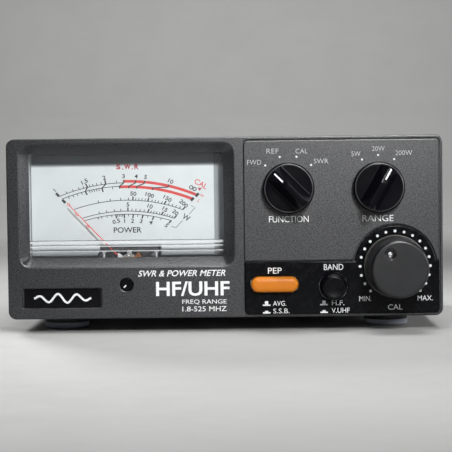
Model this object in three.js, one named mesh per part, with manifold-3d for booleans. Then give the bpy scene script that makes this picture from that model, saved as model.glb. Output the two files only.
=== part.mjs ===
// A desktop SWR and power meter for HF, VHF and UHF: a moulded front bezel on a folded steel case,
// a moving-coil meter, two selector knobs, a calibration knob, two push-lock buttons,
// and two directional-coupler sensors behind four coaxial sockets.
//
// Millimetres. +X is right as the front is seen, +Y runs from front to back, +Z is up.
// The origin is the middle of the base. Inside the group "instrument", y = 0 is the
// bezel's front face and z = 0 is the case's mid-height.

import * as THREE from "three";
import { mergeVertices } from "three/addons/utils/BufferGeometryUtils.js";
import Module from "manifold-3d";

const wasm = await Module();
wasm.setup();

// ---------------------------------------------------------------- driving dimensions

const CASE = { w: 155, h: 64.3, depth: 103, corner: 2.8 };
const FOOT = { r: 8.1, h: 5, x: 59, front: 20.5, rear: 88 };
const BEZEL = { depth: 11, wall: 2.2, face: 3, edge: 0.5 };
const SHEET = 1; // thickness of the steel cover and chassis
const GAP = 0.3; // clearance between pieces that rest on each other
const RUN = 0.07; // radial clearance round a shaft

// The window's clear opening, at the foot of its sloping recess.
const WINDOW = { x: -35.2, z: 8.2, w: 69.8, h: 37.5, corner: 0.6, slope: 3.2, deep: 4 };

// The raised control area on the right, and the black insert that fills its lower part.
const AREA = { left: 6.7, right: 76.5, top: 31, bottom: -31.45, corner: 1.6 };
const GROOVE = { w: 0.45, deep: 0.5 };
const INSERT = { top: -12.5, t: 1, proud: 0.1, pocket: 1.4, gap: 0.35, arch: 14.55 };
const BADGE = { x: -58.1, z: -24.7, w: 28, h: 7.2, t: 0.6, pocket: 0.9 };

const SELECTOR = { z: 13.7, function: 22.8, range: 54.7 };
const CAL = { x: 60.5, z: -14.4 };
const PEP = { x: 17.6, z: -20.4, w: 16.8, h: 5.4, out: 3.6 };
const BAND = { x: 38.5, z: -21.4, r: 4.85, out: 6.6 };
const BUTTON_BACK = 1.2; // a button's rear face, which moves back 3 mm when it is pressed

const KNOB = { r: 9.1, skirt: 4.6, bar: 12, barBase: 6.6, barTop: 2.2 };
const CAL_KNOB = { base: 11.15, face: 9.75, h: 16.2, dimple: 1.9, dimpleAt: 6.3 };
const REST_DEG = { function: -45, range: 30, cal: -32.5, pointer: -43.4 };

// The meter: PIVOT is the axis of its moving coil, ZERO that of its zero-set screw.
const PIVOT = { x: WINDOW.x, z: -14.2 };
const ZERO = { x: PIVOT.x, z: -20.1, offset: 0.9 };
const METER = { w: 74, top: 29, bottom: -25.6, front: 4.4, wall: 1.6, seam: 15 };
const MOVEMENT = { y0: 14, y1: 23.6, w: 21.4, bore: 6.3, core: 4.3, coil: 5.9 };
const BRIDGE = { x: 9.3, z: -10.3, y0: 8.2, y1: 9 };
const PIVOT_HOLE = 0.44; // radius of the two bearings for the pointer's 0.35 mm pins
const POINTER = { y: 10, t: 0.3, len: 31.7, w: 0.55 };
const STUD = { r: 5.1, drop: 20 }; // the hairspring's outer anchor, in degrees below level
const DIAL = { w: 70.4, top: 27.2, bottom: -10.2, y: 12, t: 0.4, notch: -6.5 };

const BOARD = { y: 17.6, t: 1.6, left: 5.6, right: 73.4, top: 28.6, bottom: -28.6 };
const BRACKET = { y: 4.6, left: 9, right: 72, top: 27, bottom: -28 };

const REAR = { y: 101, t: 1.2 };
const SOCKET = { z: -4, near: 26, far: 54, flange: 25.4, t: 1.6, r: 7.9, bore: 6.3 };
const UHF_BARREL = 12.5; // length of an SO-239 barrel in front of its flange
const N_BARREL = 11;
const SENSOR = { x: 40, w: 58, h: 32, y0: 70, wall: 2 };
const DC = { x: 0, z: 15, r: 4, nut: 5.6 };

// ---------------------------------------------------------------- solids

// A closed three.js geometry as a manifold solid, turned outside out if it is inside out.
function solid(geometry) {
  const bare = new THREE.BufferGeometry();
  const flat = geometry.index ? geometry.toNonIndexed() : geometry;
  bare.setAttribute("position", flat.getAttribute("position"));
  const merged = mergeVertices(bare, 1e-4);
  const vertProperties = new Float32Array(merged.getAttribute("position").array);
  const make = (triVerts) =>
    new wasm.Manifold(new wasm.Mesh({ numProp: 3, vertProperties, triVerts }));
  const made = make(new Uint32Array(merged.index.array));
  if (made.volume() > 0) return made;
  return make(new Uint32Array(merged.index.array).reverse());
}

function geometryOf(manifold) {
  const mesh = manifold.getMesh();
  const geometry = new THREE.BufferGeometry();
  geometry.setAttribute("position", new THREE.BufferAttribute(mesh.vertProperties, 3));
  geometry.setIndex(new THREE.BufferAttribute(mesh.triVerts, 1));
  geometry.computeVertexNormals();
  return geometry;
}

const union = (first, ...others) => others.reduce((sum, next) => sum.add(next), first);
const cut = (body, ...tools) => tools.reduce((left, tool) => left.subtract(tool), body);

// A box between two corners.
function box(x0, x1, y0, y1, z0, z1) {
  const geometry = new THREE.BoxGeometry(x1 - x0, y1 - y0, z1 - z0);
  return solid(geometry.translate((x0 + x1) / 2, (y0 + y1) / 2, (z0 + z1) / 2));
}

// A cylinder along y, along x or along z.
function rod(r, y0, y1, x, z, sides = 28) {
  const geometry = new THREE.CylinderGeometry(r, r, y1 - y0, sides);
  return solid(geometry.translate(x, (y0 + y1) / 2, z));
}

function rodAlongX(r, x0, x1, y, z, sides = 24) {
  const geometry = new THREE.CylinderGeometry(r, r, x1 - x0, sides).rotateZ(Math.PI / 2);
  return solid(geometry.translate((x0 + x1) / 2, y, z));
}

// A profile of [radius, y] pairs turned round the y axis, at x, z.
function turned(profile, x = 0, z = 0, sides = 32) {
  const points = profile.map(([r, y]) => new THREE.Vector2(r, y));
  return solid(new THREE.LatheGeometry(points, sides).translate(x, 0, z));
}

// An outline in x, z given thickness from y0 to y1.
function plate(shape, y0, y1, curveSegments = 8) {
  const options = { depth: y1 - y0, bevelEnabled: false, curveSegments };
  return solid(new THREE.ExtrudeGeometry(shape, options).rotateX(Math.PI / 2).translate(0, y1, 0));
}

// A rectangle with rounded corners, by its edges.
function roundedOutline(left, right, bottom, top, r) {
  const shape = new THREE.Shape();
  shape.absarc(right - r, top - r, r, 0, Math.PI / 2, false);
  shape.absarc(left + r, top - r, r, Math.PI / 2, Math.PI, false);
  shape.absarc(left + r, bottom + r, r, Math.PI, 1.5 * Math.PI, false);
  shape.absarc(right - r, bottom + r, r, 1.5 * Math.PI, 2 * Math.PI, false);
  shape.closePath();
  return shape;
}

const centredOutline = (x, z, w, h, r) =>
  roundedOutline(x - w / 2, x + w / 2, z - h / 2, z + h / 2, r);

// A button's round-ended outline.
const pill = (x, z, w, h) => centredOutline(x, z, w, h, h / 2 - 0.001);

// ---------------------------------------------------------------- the object's tree

const object = new THREE.Group();
const instrument = new THREE.Group();
const frontReach = CAL_KNOB.h + GAP;
const rearReach = REAR.y + REAR.t + GAP + SOCKET.t + UHF_BARREL;
instrument.position.set(0, (frontReach - rearReach) / 2, FOOT.h + CASE.h / 2);
object.add(instrument);

const colours = {
  bezel: [0x4a4c4f, 0.5, 0.2],
  black: [0x101114, 0.3, 0],
  paint: [0x17181a, 0.5, 0.1],
  steel: [0xb4b6b8, 0.4, 0.9],
  nickel: [0xd2d2ce, 0.25, 1],
  rubber: [0x3a3d42, 0.85, 0],
  clear: [0xe8f2f0, 0.05, 0],
  white: [0xe6e9e8, 0.5, 0],
  copper: [0xb8682c, 0.35, 0.9],
  iron: [0x55575a, 0.5, 0.8],
  brass: [0xc9a24a, 0.3, 1],
  red: [0xd83a34, 0.5, 0],
  orange: [0xf08a28, 0.35, 0],
  board: [0x2c6b45, 0.5, 0],
  alloy: [0xa9abad, 0.45, 0.9],
  ferrite: [0x3b3d3f, 0.7, 0],
};

function add(name, manifold, finish, parent = instrument) {
  const [color, roughness, metalness] = colours[finish];
  const material = new THREE.MeshStandardMaterial({ color, roughness, metalness });
  const mesh = new THREE.Mesh(geometryOf(manifold), material);
  mesh.name = name;
  parent.add(mesh);
  return mesh;
}

// A group whose y axis is a shaft's axis, turned clockwise as the front is seen.
function spindle(x, z, degrees = 0) {
  const group = new THREE.Group();
  group.position.set(x, 0, z);
  group.rotation.y = THREE.MathUtils.degToRad(degrees);
  instrument.add(group);
  return group;
}

// ---------------------------------------------------------------- front bezel and trim

// The black insert's outline, grown by an amount on every side.
function insertOutline(grow) {
  const left = AREA.left + GROOVE.w / 2 - grow;
  const right = AREA.right - GROOVE.w / 2 + grow;
  const bottom = AREA.bottom + GROOVE.w / 2 - grow;
  const top = INSERT.top + grow;
  const arch = INSERT.arch + grow;
  const rise = Math.asin((top - CAL.z) / arch);
  const r = AREA.corner;
  const shape = new THREE.Shape();
  shape.absarc(left + r, bottom + r, r, Math.PI, 1.5 * Math.PI, false);
  shape.absarc(right - r, bottom + r, r, 1.5 * Math.PI, 2 * Math.PI, false);
  shape.lineTo(right, top);
  shape.absarc(CAL.x, CAL.z, arch, rise, Math.PI - rise, false);
  shape.lineTo(left, top);
  shape.closePath();
  return shape;
}

function controlHoles(y0, y1, slack) {
  return [
    rod(4.6 + slack, y0, y1, CAL.x, CAL.z),
    plate(pill(PEP.x, PEP.z, PEP.w + 0.9 + 2 * slack, PEP.h + 0.9 + 2 * slack), y0, y1, 6),
    rod(BAND.r + 0.35 + slack, y0, y1, BAND.x, BAND.z),
  ];
}

function bezelBody() {
  const { w, h, corner } = CASE;
  const e = BEZEL.edge;
  const options = {
    depth: BEZEL.depth,
    bevelThickness: e,
    bevelSize: e,
    bevelOffset: -e,
    bevelSegments: 1,
    curveSegments: 4,
  };
  const block = new THREE.ExtrudeGeometry(centredOutline(0, 0, w, h, corner), options);
  const outside = solid(block.rotateX(Math.PI / 2).translate(0, BEZEL.depth + e, 0));
  const behind = box(-w, w, BEZEL.depth, 2 * BEZEL.depth, -h, h);
  const inner = centredOutline(0, 0, w - 2 * BEZEL.wall, h - 2 * BEZEL.wall, 1.2);
  return cut(outside, behind, plate(inner, BEZEL.face, 2 * BEZEL.depth, 4));
}

// The recess that slopes in to the window, as a cutter.
function windowFunnel() {
  const options = {
    depth: 4,
    bevelThickness: WINDOW.deep,
    bevelSize: WINDOW.slope,
    bevelSegments: 1,
    curveSegments: 2,
  };
  const outline = centredOutline(WINDOW.x, WINDOW.z, WINDOW.w, WINDOW.h, WINDOW.corner);
  const funnel = solid(new THREE.ExtrudeGeometry(outline, options).rotateX(Math.PI / 2));
  return union(funnel, plate(outline, 0, 2 * WINDOW.deep, 2));
}

function frontBezel() {
  const rim = 1.9;
  const frame = box(
    WINDOW.x - WINDOW.w / 2 - rim,
    WINDOW.x + WINDOW.w / 2 + rim,
    BEZEL.face - 0.1,
    WINDOW.deep + 0.1,
    WINDOW.z - WINDOW.h / 2 - rim,
    WINDOW.z + WINDOW.h / 2 + rim,
  );
  const half = GROOVE.w / 2;
  const outer = roundedOutline(
    AREA.left - half, AREA.right + half, AREA.bottom - half, AREA.top + half, AREA.corner + half,
  );
  const inner = roundedOutline(
    AREA.left + half, AREA.right - half, AREA.bottom + half, AREA.top - half, AREA.corner - half,
  );
  const groove = cut(plate(outer, -1, GROOVE.deep, 3), plate(inner, -2, 2 * GROOVE.deep, 3));
  const badge = centredOutline(BADGE.x, BADGE.z, BADGE.w, BADGE.h, 0.5);
  const bosses = [AREA.left + 5.5, AREA.right - 7.5].flatMap((x) =>
    [AREA.top - 6.5, -7.5].map((z) => rod(1.8, BEZEL.face - 0.1, BRACKET.y - GAP, x, z, 12)),
  );
  return cut(
    union(bezelBody(), frame, ...bosses),
    windowFunnel(),
    groove,
    plate(insertOutline(INSERT.gap), -1, INSERT.pocket, 10),
    plate(badge, -1, BADGE.pocket, 2),
    rod(2.4, -1, 9, ZERO.x, ZERO.z),
    rod(4.9, -1, 9, SELECTOR.function, SELECTOR.z),
    rod(4.9, -1, 9, SELECTOR.range, SELECTOR.z),
    ...controlHoles(-1, 9, 0.4),
  );
}

function controlPanel() {
  const y0 = -INSERT.proud;
  const slab = plate(insertOutline(0), y0, y0 + INSERT.t, 10);
  return cut(slab, ...controlHoles(-1, 3, 0));
}

function addFront() {
  add("front_bezel", frontBezel(), "bezel");
  add("control_panel", controlPanel(), "black");
  const badge = centredOutline(BADGE.x, BADGE.z, BADGE.w - 0.6, BADGE.h - 0.6, 0.4);
  add("badge_plate", plate(badge, BADGE.pocket - BADGE.t - 0.05, BADGE.pocket - 0.05, 3), "black");
}

// ---------------------------------------------------------------- case

const SCREW = { r: 2.6, head: 1.7, shank: 1.4, z: -25.5, ys: [22, 90] };

function topCover() {
  const { w, h, corner, depth } = CASE;
  const y0 = BEZEL.depth + GAP;
  const outside = plate(centredOutline(0, 0, w, h, corner), y0, depth, 6);
  const inside = plate(
    centredOutline(0, 0, w - 2 * SHEET, h - 2 * SHEET, corner - SHEET), y0 - 1, depth + 1, 6,
  );
  const open = box(-w / 2 + SHEET, w / 2 - SHEET, 0, depth + 1, -h, 0);
  const below = box(-w, w, 0, depth + 1, -h, -h / 2 + SHEET / 2);
  const holes = SCREW.ys.map((y) => rodAlongX(1.7, -w, w, y, SCREW.z, 16));
  return cut(outside, inside, open, below, ...holes);
}

function chassisPan() {
  const x = CASE.w / 2 - SHEET - GAP;
  const z = -CASE.h / 2;
  const y0 = BEZEL.depth + GAP;
  const y1 = REAR.y - GAP;
  const floor = box(-x, x, y0, y1, z, z + SHEET);
  const flanges = [-1, 1].map((side) => {
    const [a, b] = [side * x, side * (x - SHEET)].sort((p, q) => p - q);
    return box(a, b, y0, y1, z, z + 12);
  });
  const holes = SCREW.ys.map((y) => rodAlongX(1.7, -CASE.w, CASE.w, y, SCREW.z, 16));
  const footHoles = footPlaces().map(({ x: fx, y }) =>
    solid(new THREE.CylinderGeometry(1.5, 1.5, 4, 16).rotateX(Math.PI / 2).translate(fx, y, z)),
  );
  return cut(union(floor, ...flanges), ...holes, ...footHoles);
}

function footPlaces() {
  return [
    { name: "foot_front_left", x: -FOOT.x, y: FOOT.front },
    { name: "foot_front_right", x: FOOT.x, y: FOOT.front },
    { name: "foot_rear_left", x: -FOOT.x, y: FOOT.rear },
    { name: "foot_rear_right", x: FOOT.x, y: FOOT.rear },
  ];
}

// A round rubber foot with a small dimple in its sole and a stem pushed through the chassis.
function foot() {
  const { r, h } = FOOT;
  const profile = [
    [0, 1.4], [1.6, 1.4], [1.9, 0], [r - 0.6, 0], [r, 0.6], [r, h - GAP],
    [1.3, h - GAP], [1.3, h + SHEET + 1], [0, h + SHEET + 1],
  ];
  const points = profile.map(([radius, y]) => new THREE.Vector2(radius, y));
  return solid(new THREE.LatheGeometry(points, 24).rotateX(Math.PI / 2));
}

function addCase() {
  add("top_cover", topCover(), "paint");
  add("chassis_pan", chassisPan(), "steel");
  for (const { name, x, y } of footPlaces()) {
    add(name, foot(), "rubber").position.set(x, y, -CASE.h / 2 - FOOT.h);
  }
  for (const [side, label] of [[-1, "left"], [1, "right"]]) {
    SCREW.ys.forEach((y, i) => {
      const outer = side * (CASE.w / 2 + 0.1);
      const head = [outer, outer + side * SCREW.head].sort((p, q) => p - q);
      const shank = [outer, outer - side * 4].sort((p, q) => p - q);
      const screw = union(
        rodAlongX(SCREW.r, ...head, y, SCREW.z, 20),
        rodAlongX(SCREW.shank, ...shank, y, SCREW.z, 12),
      );
      add(`cover_screw_${label}_${i ? "rear" : "front"}`, screw, "steel");
    });
  }
}

// ---------------------------------------------------------------- selectors and buttons

// A bar knob: a chamfered skirt with a tapered grip across it. Its pointer is at +z.
function barKnob() {
  const { r, skirt, bar, barBase, barTop } = KNOB;
  const y0 = -GAP - INSERT.proud;
  const disc = turned([
    [0, y0 - 1.6], [7.6, y0 - 1.6], [7.6, y0], [r, y0], [r, -skirt + 0.8], [r - 0.8, -skirt], [0, -skirt],
  ]);
  const grip = new THREE.Shape();
  grip.moveTo(-barBase / 2, -skirt + 0.2);
  grip.lineTo(barBase / 2, -skirt + 0.2);
  grip.lineTo(barTop / 2 + 0.5, -bar + 0.5);
  grip.lineTo(barTop / 2, -bar);
  grip.lineTo(-barTop / 2, -bar);
  grip.lineTo(-barTop / 2 - 0.5, -bar + 0.5);
  grip.closePath();
  const length = 2 * r;
  const options = { depth: length, bevelEnabled: false };
  const ridge = solid(new THREE.ExtrudeGeometry(grip, options).translate(0, 0, -r));
  const limit = rod(r - 0.6, -bar - 1, 0, 0, 0, 32);
  const slope = new THREE.Shape();
  slope.moveTo(2.2, -bar - 0.1);
  slope.lineTo(r + 1, -bar - 0.1);
  slope.lineTo(r + 1, -bar + 1.4);
  slope.closePath();
  const fall = solid(
    new THREE.ExtrudeGeometry(slope, { depth: length, bevelEnabled: false })
      .translate(0, 0, -r)
      .rotateY(-Math.PI / 2),
  );
  const body = union(disc, cut(ridge.intersect(limit), fall));
  const boss = rod(4, -skirt, y0 - 0.4, 0, 0);
  return cut(union(body, boss), rod(3 + RUN, -skirt - 0.6, 2, 0, 0));
}

// A rotary switch: body, threaded bush and rear cap, with a bore for its shaft.
function rotarySwitch(x) {
  const z = SELECTOR.z;
  const body = box(x - 10.5, x + 10.5, 6, BOARD.y - GAP, z - 10.5, z + 10.5);
  const bush = rod(4.5, -0.1, 6.1, x, z);
  return cut(union(body, bush), rod(3 + RUN, -1, 13.6, x, z));
}

const shaft = (front, rear) => rod(3, front, rear, 0, 0);

function calKnob() {
  const { base, face, h, dimple, dimpleAt } = CAL_KNOB;
  const y0 = -GAP;
  const profile = [
    [0, y0 - 2], [8.6, y0 - 2], [8.6, y0], [base, y0], [base, y0 - 1.4], [base - 0.5, y0 - 1.6],
    [face + 0.3, y0 - h + 0.8], [face - 0.4, y0 - h], [0, y0 - h],
  ];
  const body = turned(profile, 0, 0, 40);
  const hollow = turned(
    [[0, y0 - h + 0.9], [0.7, y0 - h + 0.9], [dimple, y0 - h - 0.01], [0, y0 - h - 0.01]],
    0,
    dimpleAt,
    20,
  );
  const boss = rod(4.2, y0 - 3, y0 - 0.2, 0, 0);
  return cut(union(body, boss), hollow, rod(3 + RUN, -h + 3.6, 2, 0, 0));
}

function potentiometer() {
  const { x, z } = CAL;
  const terminals = box(x - 6, x + 6, 9, BOARD.y - GAP, z - 11, z);
  const body = union(rod(8.2, 6, 14.6, x, z, 28), terminals);
  const bush = rod(3.9, -0.1, 6.1, x, z);
  return cut(union(body, bush), rod(3 + RUN, -1, 12.6, x, z));
}

// A push-lock switch with a square plunger hole right through it.
function pushSwitch(x, z) {
  const body = box(x - 4.6, x + 4.6, 6, BOARD.y - GAP, z - 4.2, z + 4.2);
  return cut(body, box(x - 1.7, x + 1.7, 5, BOARD.y, z - 1.7, z + 1.7));
}

const plunger = (x, z) => box(x - 1.5, x + 1.5, -1, 14, z - 1.5, z + 1.5);

// The square pocket in the back of a button that takes its plunger.
const plungerPocket = (x, z) => box(x - 1.8, x + 1.8, -1.3, 2, z - 1.8, z + 1.8);

function pepButton() {
  const { x, z, w, h, out } = PEP;
  const step = (inset, y) => plate(pill(x, z, w - 2 * inset, h - 2 * inset), y, BUTTON_BACK, 7);
  const cap = union(step(0, -out + 0.7), step(0.6, -out));
  return cut(cap, plungerPocket(x, z));
}

function bandButton() {
  const { x, z, r, out } = BAND;
  const back = BUTTON_BACK;
  const cap = turned(
    [[0, back], [r, back], [r, -0.4], [r - 0.45, -out + 0.7], [r - 1, -out], [0, -out]], x, z, 28,
  );
  return cut(cap, plungerPocket(x, z));
}

function switchBracket() {
  const { y, left, right, top, bottom } = BRACKET;
  const face = plate(roundedOutline(left, right, bottom, top, 2), y, y + SHEET, 3);
  const lower = box(left + 4, right - 4, y, BOARD.y - GAP, bottom, bottom + SHEET);
  const upper = box(left + 4, right - 4, y, BOARD.y - GAP, top - SHEET, top);
  return cut(
    union(face, lower, upper),
    rod(4.8, 0, 9, SELECTOR.function, SELECTOR.z),
    rod(4.8, 0, 9, SELECTOR.range, SELECTOR.z),
    rod(4.2, 0, 9, CAL.x, CAL.z),
    box(PEP.x - 2.5, PEP.x + 2.5, 3, 8, PEP.z - 2.5, PEP.z + 2.5),
    box(BAND.x - 2.5, BAND.x + 2.5, 3, 8, BAND.z - 2.5, BAND.z + 2.5),
  );
}

function addSelector(name, x, degrees) {
  add(`${name}_switch`, rotarySwitch(x), "black");
  const axis = spindle(x, SELECTOR.z, degrees);
  add(`${name}_shaft`, shaft(-KNOB.skirt - 0.3, 13.2), "alloy", axis);
  add(`${name}_knob`, barKnob(), "black", axis);
}

function addControls() {
  addSelector("function", SELECTOR.function, REST_DEG.function);
  addSelector("range", SELECTOR.range, REST_DEG.range);
  add("cal_potentiometer", potentiometer(), "steel");
  const axis = spindle(CAL.x, CAL.z, REST_DEG.cal);
  add("cal_shaft", shaft(-CAL_KNOB.h + 3.9, 12.2), "alloy", axis);
  add("cal_knob", calKnob(), "black", axis);
  add("pep_switch", pushSwitch(PEP.x, PEP.z), "white");
  add("pep_plunger", plunger(PEP.x, PEP.z), "white");
  add("pep_button", pepButton(), "orange");
  add("band_switch", pushSwitch(BAND.x, BAND.z), "white");
  add("band_plunger", plunger(BAND.x, BAND.z), "white");
  add("band_button", bandButton(), "black");
  add("switch_bracket", switchBracket(), "steel");
  const { left, right, bottom, top, y, t } = BOARD;
  add("main_board", plate(roundedOutline(left, right, bottom, top, 1), y, y + t, 2), "board");
}

// ---------------------------------------------------------------- the moving-coil meter

// The clear front: a tray open to the back, with three ribs across its foot.
function meterCover() {
  const { w, top, bottom, front, wall, seam } = METER;
  const [left, right] = [PIVOT.x - w / 2, PIVOT.x + w / 2];
  const outside = plate(roundedOutline(left, right, bottom, top, 1), front, seam - GAP, 3);
  const inside = box(left + wall, right - wall, front + wall, seam, bottom + wall, top - wall);
  const ribs = [-4.4, -5.9, -7.7].map((z) =>
    box(left + wall - 0.1, right - wall + 0.1, front + wall - 0.1, front + wall + 0.5, z - 0.3, z + 0.3),
  );
  return cut(union(cut(outside, inside), ...ribs), rod(1.5 + RUN, 0, 9, ZERO.x, ZERO.z, 24));
}

// The tub behind the dial, with posts for the dial, pads for the magnet and the rear bearing.
function meterHousing() {
  const { w, top, bottom, wall, seam } = METER;
  const [left, right] = [PIVOT.x - w / 2, PIVOT.x + w / 2];
  const base = 27.5;
  const outside = plate(roundedOutline(left, right, bottom, top, 1), seam, base + 2, 3);
  const inside = box(left + wall, right - wall, seam - 1, base, bottom + wall, top - wall);
  const posts = [-28, 28].map((dx) => rod(2, 12.7, base + 1, PIVOT.x + dx, 8, 16));
  const pads = [-1, 1].map((side) => {
    const [a, b] = [side * 7.2, side * 10.4].sort((p, q) => p - q);
    return box(PIVOT.x + a, PIVOT.x + b, MOVEMENT.y1 + GAP, base + 1, PIVOT.z - 7, PIVOT.z + 7);
  });
  const bearing = rod(1.6, 25.3, base + 1, PIVOT.x, PIVOT.z, 16);
  const terminals = [-14, 14].map((dx) => rod(2.2, base + 1, base + 7, PIVOT.x + dx, PIVOT.z, 16));
  return cut(
    union(cut(outside, inside), ...posts, ...pads, bearing, ...terminals),
    rod(PIVOT_HOLE, 25, 26.5, PIVOT.x, PIVOT.z, 12),
  );
}

function dialPlate() {
  const { x } = PIVOT;
  const { w, top, bottom, y, t, notch } = DIAL;
  const face = roundedOutline(x - w / 2, x + w / 2, bottom, top, 0.5);
  return cut(plate(face, y, y + t, 2), box(x - 10.5, x + 12, y - 1, y + 1, bottom - 1, notch));
}

function yoke() {
  const { y0, y1, w, bore } = MOVEMENT;
  const { x, z } = PIVOT;
  const block = box(x - w / 2, x + w / 2, y0, y1, z - 7.4, z + 7.3);
  return cut(block, rod(bore, y0 - 1, y1 + 1, x, z, 32));
}

// The magnet core, held by lugs above and below where the coil never reaches.
function coreMagnet() {
  const { y0, y1, bore, core } = MOVEMENT;
  const { x, z } = PIVOT;
  const lugs = box(x - 0.9, x + 0.9, y0 + 1, y1 - 1, z - bore + 0.2, z + bore - 0.2);
  return union(rod(core, y0 + 0.3, y1 - 0.3, x, z, 28), lugs);
}

// The V-shaped bridge over the front pivot, with the boss that the zero lever turns on.
function frontBridge() {
  const { y0, y1, x: reach, z } = BRIDGE;
  const arm = (side) => {
    const shape = new THREE.Shape();
    shape.moveTo(PIVOT.x - 0.6 * side, PIVOT.z + 1.4);
    shape.lineTo(PIVOT.x + side * reach, z + 1.5);
    shape.lineTo(PIVOT.x + side * (reach + 1), z - 1.3);
    shape.lineTo(PIVOT.x + 0.6 * side, PIVOT.z - 1.4);
    return plate(shape, y0, y1, 1);
  };
  const ends = [-reach, reach].map((dx) => rod(1.8, y0, y1, PIVOT.x + dx, z, 20));
  const disc = rod(2.6, y0, y1, PIVOT.x, PIVOT.z, 24);
  const boss = rod(1.3, y0 - 1, y1 + 0.3, PIVOT.x, PIVOT.z, 20);
  const holes = [-reach, reach].map((dx) => rod(1.2, 5, 12, PIVOT.x + dx, z, 16));
  return cut(
    union(disc, arm(-1), arm(1), ...ends, boss),
    ...holes,
    rod(PIVOT_HOLE, y1 - 0.3, y1 + 1, PIVOT.x, PIVOT.z, 12),
  );
}

function bridgeScrew(dx) {
  const x = PIVOT.x + dx;
  const head = rod(1.8, BRIDGE.y0 - 1.3, BRIDGE.y0 - 0.1, x, BRIDGE.z, 20);
  const post = rod(1, BRIDGE.y0 - 0.2, MOVEMENT.y0 - 0.1, x, BRIDGE.z, 16);
  return union(head, post);
}

// The pointer with its staff and balance weight. It points along +z.
function pointer() {
  const { y, t, len, w } = POINTER;
  const blade = new THREE.Shape();
  blade.moveTo(-w / 2, 0);
  blade.lineTo(w / 2, 0);
  blade.lineTo(w / 3, len);
  blade.lineTo(-w / 3, len);
  blade.closePath();
  const tail = box(-0.4, 0.4, y, y + t, -3.4, 0);
  const weight = rod(1, y - 0.2, y + 0.7, 0, -3.4, 16);
  const hub = rod(1, y - 0.2, 12.6, 0, 0, 20);
  const pin = rod(0.35, 9, y, 0, 0, 12);
  return union(plate(blade, y, y + t, 2), tail, weight, hub, pin);
}

// The coil: a rectangular loop round the core, with its sides square to the pointer.
function movingCoil() {
  const { y0, y1, coil } = MOVEMENT;
  const half = 1.3;
  const outer = box(-coil, coil, y0 - 1.1, y1 + 1.1, -half, half);
  const inner = box(-coil + 1.1, coil - 1.1, y0 - 0.3, y1 + 0.3, -half - 1, half + 1);
  const pin = rod(0.35, y1 + 1, 26.2, 0, 0, 12);
  return union(cut(outer, inner), pin);
}

// A flat spiral spring from the pointer's hub out to the zero lever's stud.
function hairspring() {
  const turns = 2.5;
  const steps = 40;
  const [r0, r1, thick, high] = [1.35, 4.3, 0.14, 0.35];
  const start = Math.PI - THREE.MathUtils.degToRad(STUD.drop);
  const rim = (offset) =>
    Array.from({ length: steps + 1 }, (_, i) => {
      const angle = start + (2 * Math.PI * turns * i) / steps;
      const r = r0 + ((r1 - r0) * i) / steps + offset;
      return new THREE.Vector2(r * Math.cos(angle), r * Math.sin(angle));
    });
  const outline = new THREE.Shape([...rim(0), ...rim(thick).reverse()]);
  return plate(outline, 11.2, 11.2 + high, 1);
}

// The lever that sets zero: a ring on the bridge's boss, a fork below it and a spring stud.
function zeroLever() {
  const [y0, y1] = [7.3, 7.9];
  const reach = PIVOT.z - ZERO.z;
  const ring = rod(2.3, y0, y1, 0, 0, 24);
  const arm = box(-1.3, 1.3, y0, y1, -reach - 0.1, -1.4);
  const slot = box(-0.6, 0.6, y0 - 1, y1 + 1, -reach - 1, -reach + 1.8);
  const drop = THREE.MathUtils.degToRad(STUD.drop);
  const side = box(1.4, STUD.r + 0.4, y0, y1, -0.5, 0.5).rotate([0, STUD.drop, 0]);
  const stud = rod(0.4, y0, 11.6, STUD.r * Math.cos(drop), -STUD.r * Math.sin(drop), 12);
  return cut(union(ring, arm, side, stud), slot, rod(1.3 + RUN, 5, 9, 0, 0, 24));
}

// The zero-set screw: slotted head, neck in the clear cover, and an eccentric pin at +z.
function zeroScrew() {
  const head = rod(2.1, 1.2, METER.front - 0.1, 0, 0, 24);
  const slot = box(-0.35, 0.35, 0, 2, -3, 3).rotate([0, 40, 0]);
  const neck = rod(1.5, METER.front - 0.2, METER.front + METER.wall + 0.2, 0, 0, 20);
  const collar = rod(1.9, METER.front + METER.wall + 0.1, 6.9, 0, 0, 20);
  const pin = rod(0.42, 6.8, 8.1, 0, ZERO.offset, 12);
  return cut(union(head, neck, collar, pin), slot);
}

function meterLamp() {
  const profile = [[0, 20], [2, 20], [2, 25], [2.3, 25], [2.3, 27.2], [0, 27.2]];
  const dome = [[0, 18.2], [1.1, 18.5], [1.8, 19.2]];
  return turned([...dome, ...profile.slice(1)], PIVOT.x - 20, -16, 20);
}

function addMeter() {
  add("meter_cover", meterCover(), "clear");
  add("meter_housing", meterHousing(), "white");
  add("dial_plate", dialPlate(), "white");
  add("magnet_yoke", yoke(), "iron");
  add("core_magnet", coreMagnet(), "steel");
  add("front_bridge", frontBridge(), "black");
  add("bridge_screw_left", bridgeScrew(-BRIDGE.x), "nickel");
  add("bridge_screw_right", bridgeScrew(BRIDGE.x), "nickel");
  add("meter_lamp", meterLamp(), "clear");
  const axis = spindle(PIVOT.x, PIVOT.z, REST_DEG.pointer);
  add("pointer", pointer(), "red", axis);
  add("moving_coil", movingCoil(), "copper", axis);
  const zeroAxis = spindle(PIVOT.x, PIVOT.z);
  add("hairspring", hairspring(), "brass", zeroAxis);
  add("zero_lever", zeroLever(), "brass", zeroAxis);
  add("zero_screw", zeroScrew(), "black", spindle(ZERO.x, ZERO.z));
}

// ---------------------------------------------------------------- rear panel and sensors

function rearPanel() {
  const { w, h } = CASE;
  const inset = SHEET + GAP;
  const outline = centredOutline(0, 0, w - 2 * inset, h - 2 * inset, 1.4);
  const holes = socketPlaces().map(({ x }) => rod(6.6, REAR.y - 1, REAR.y + 3, x, SOCKET.z));
  return cut(
    plate(outline, REAR.y, REAR.y + REAR.t, 3),
    ...holes,
    rod(DC.r + 0.2, REAR.y - 1, REAR.y + 3, DC.x, DC.z),
  );
}

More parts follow.
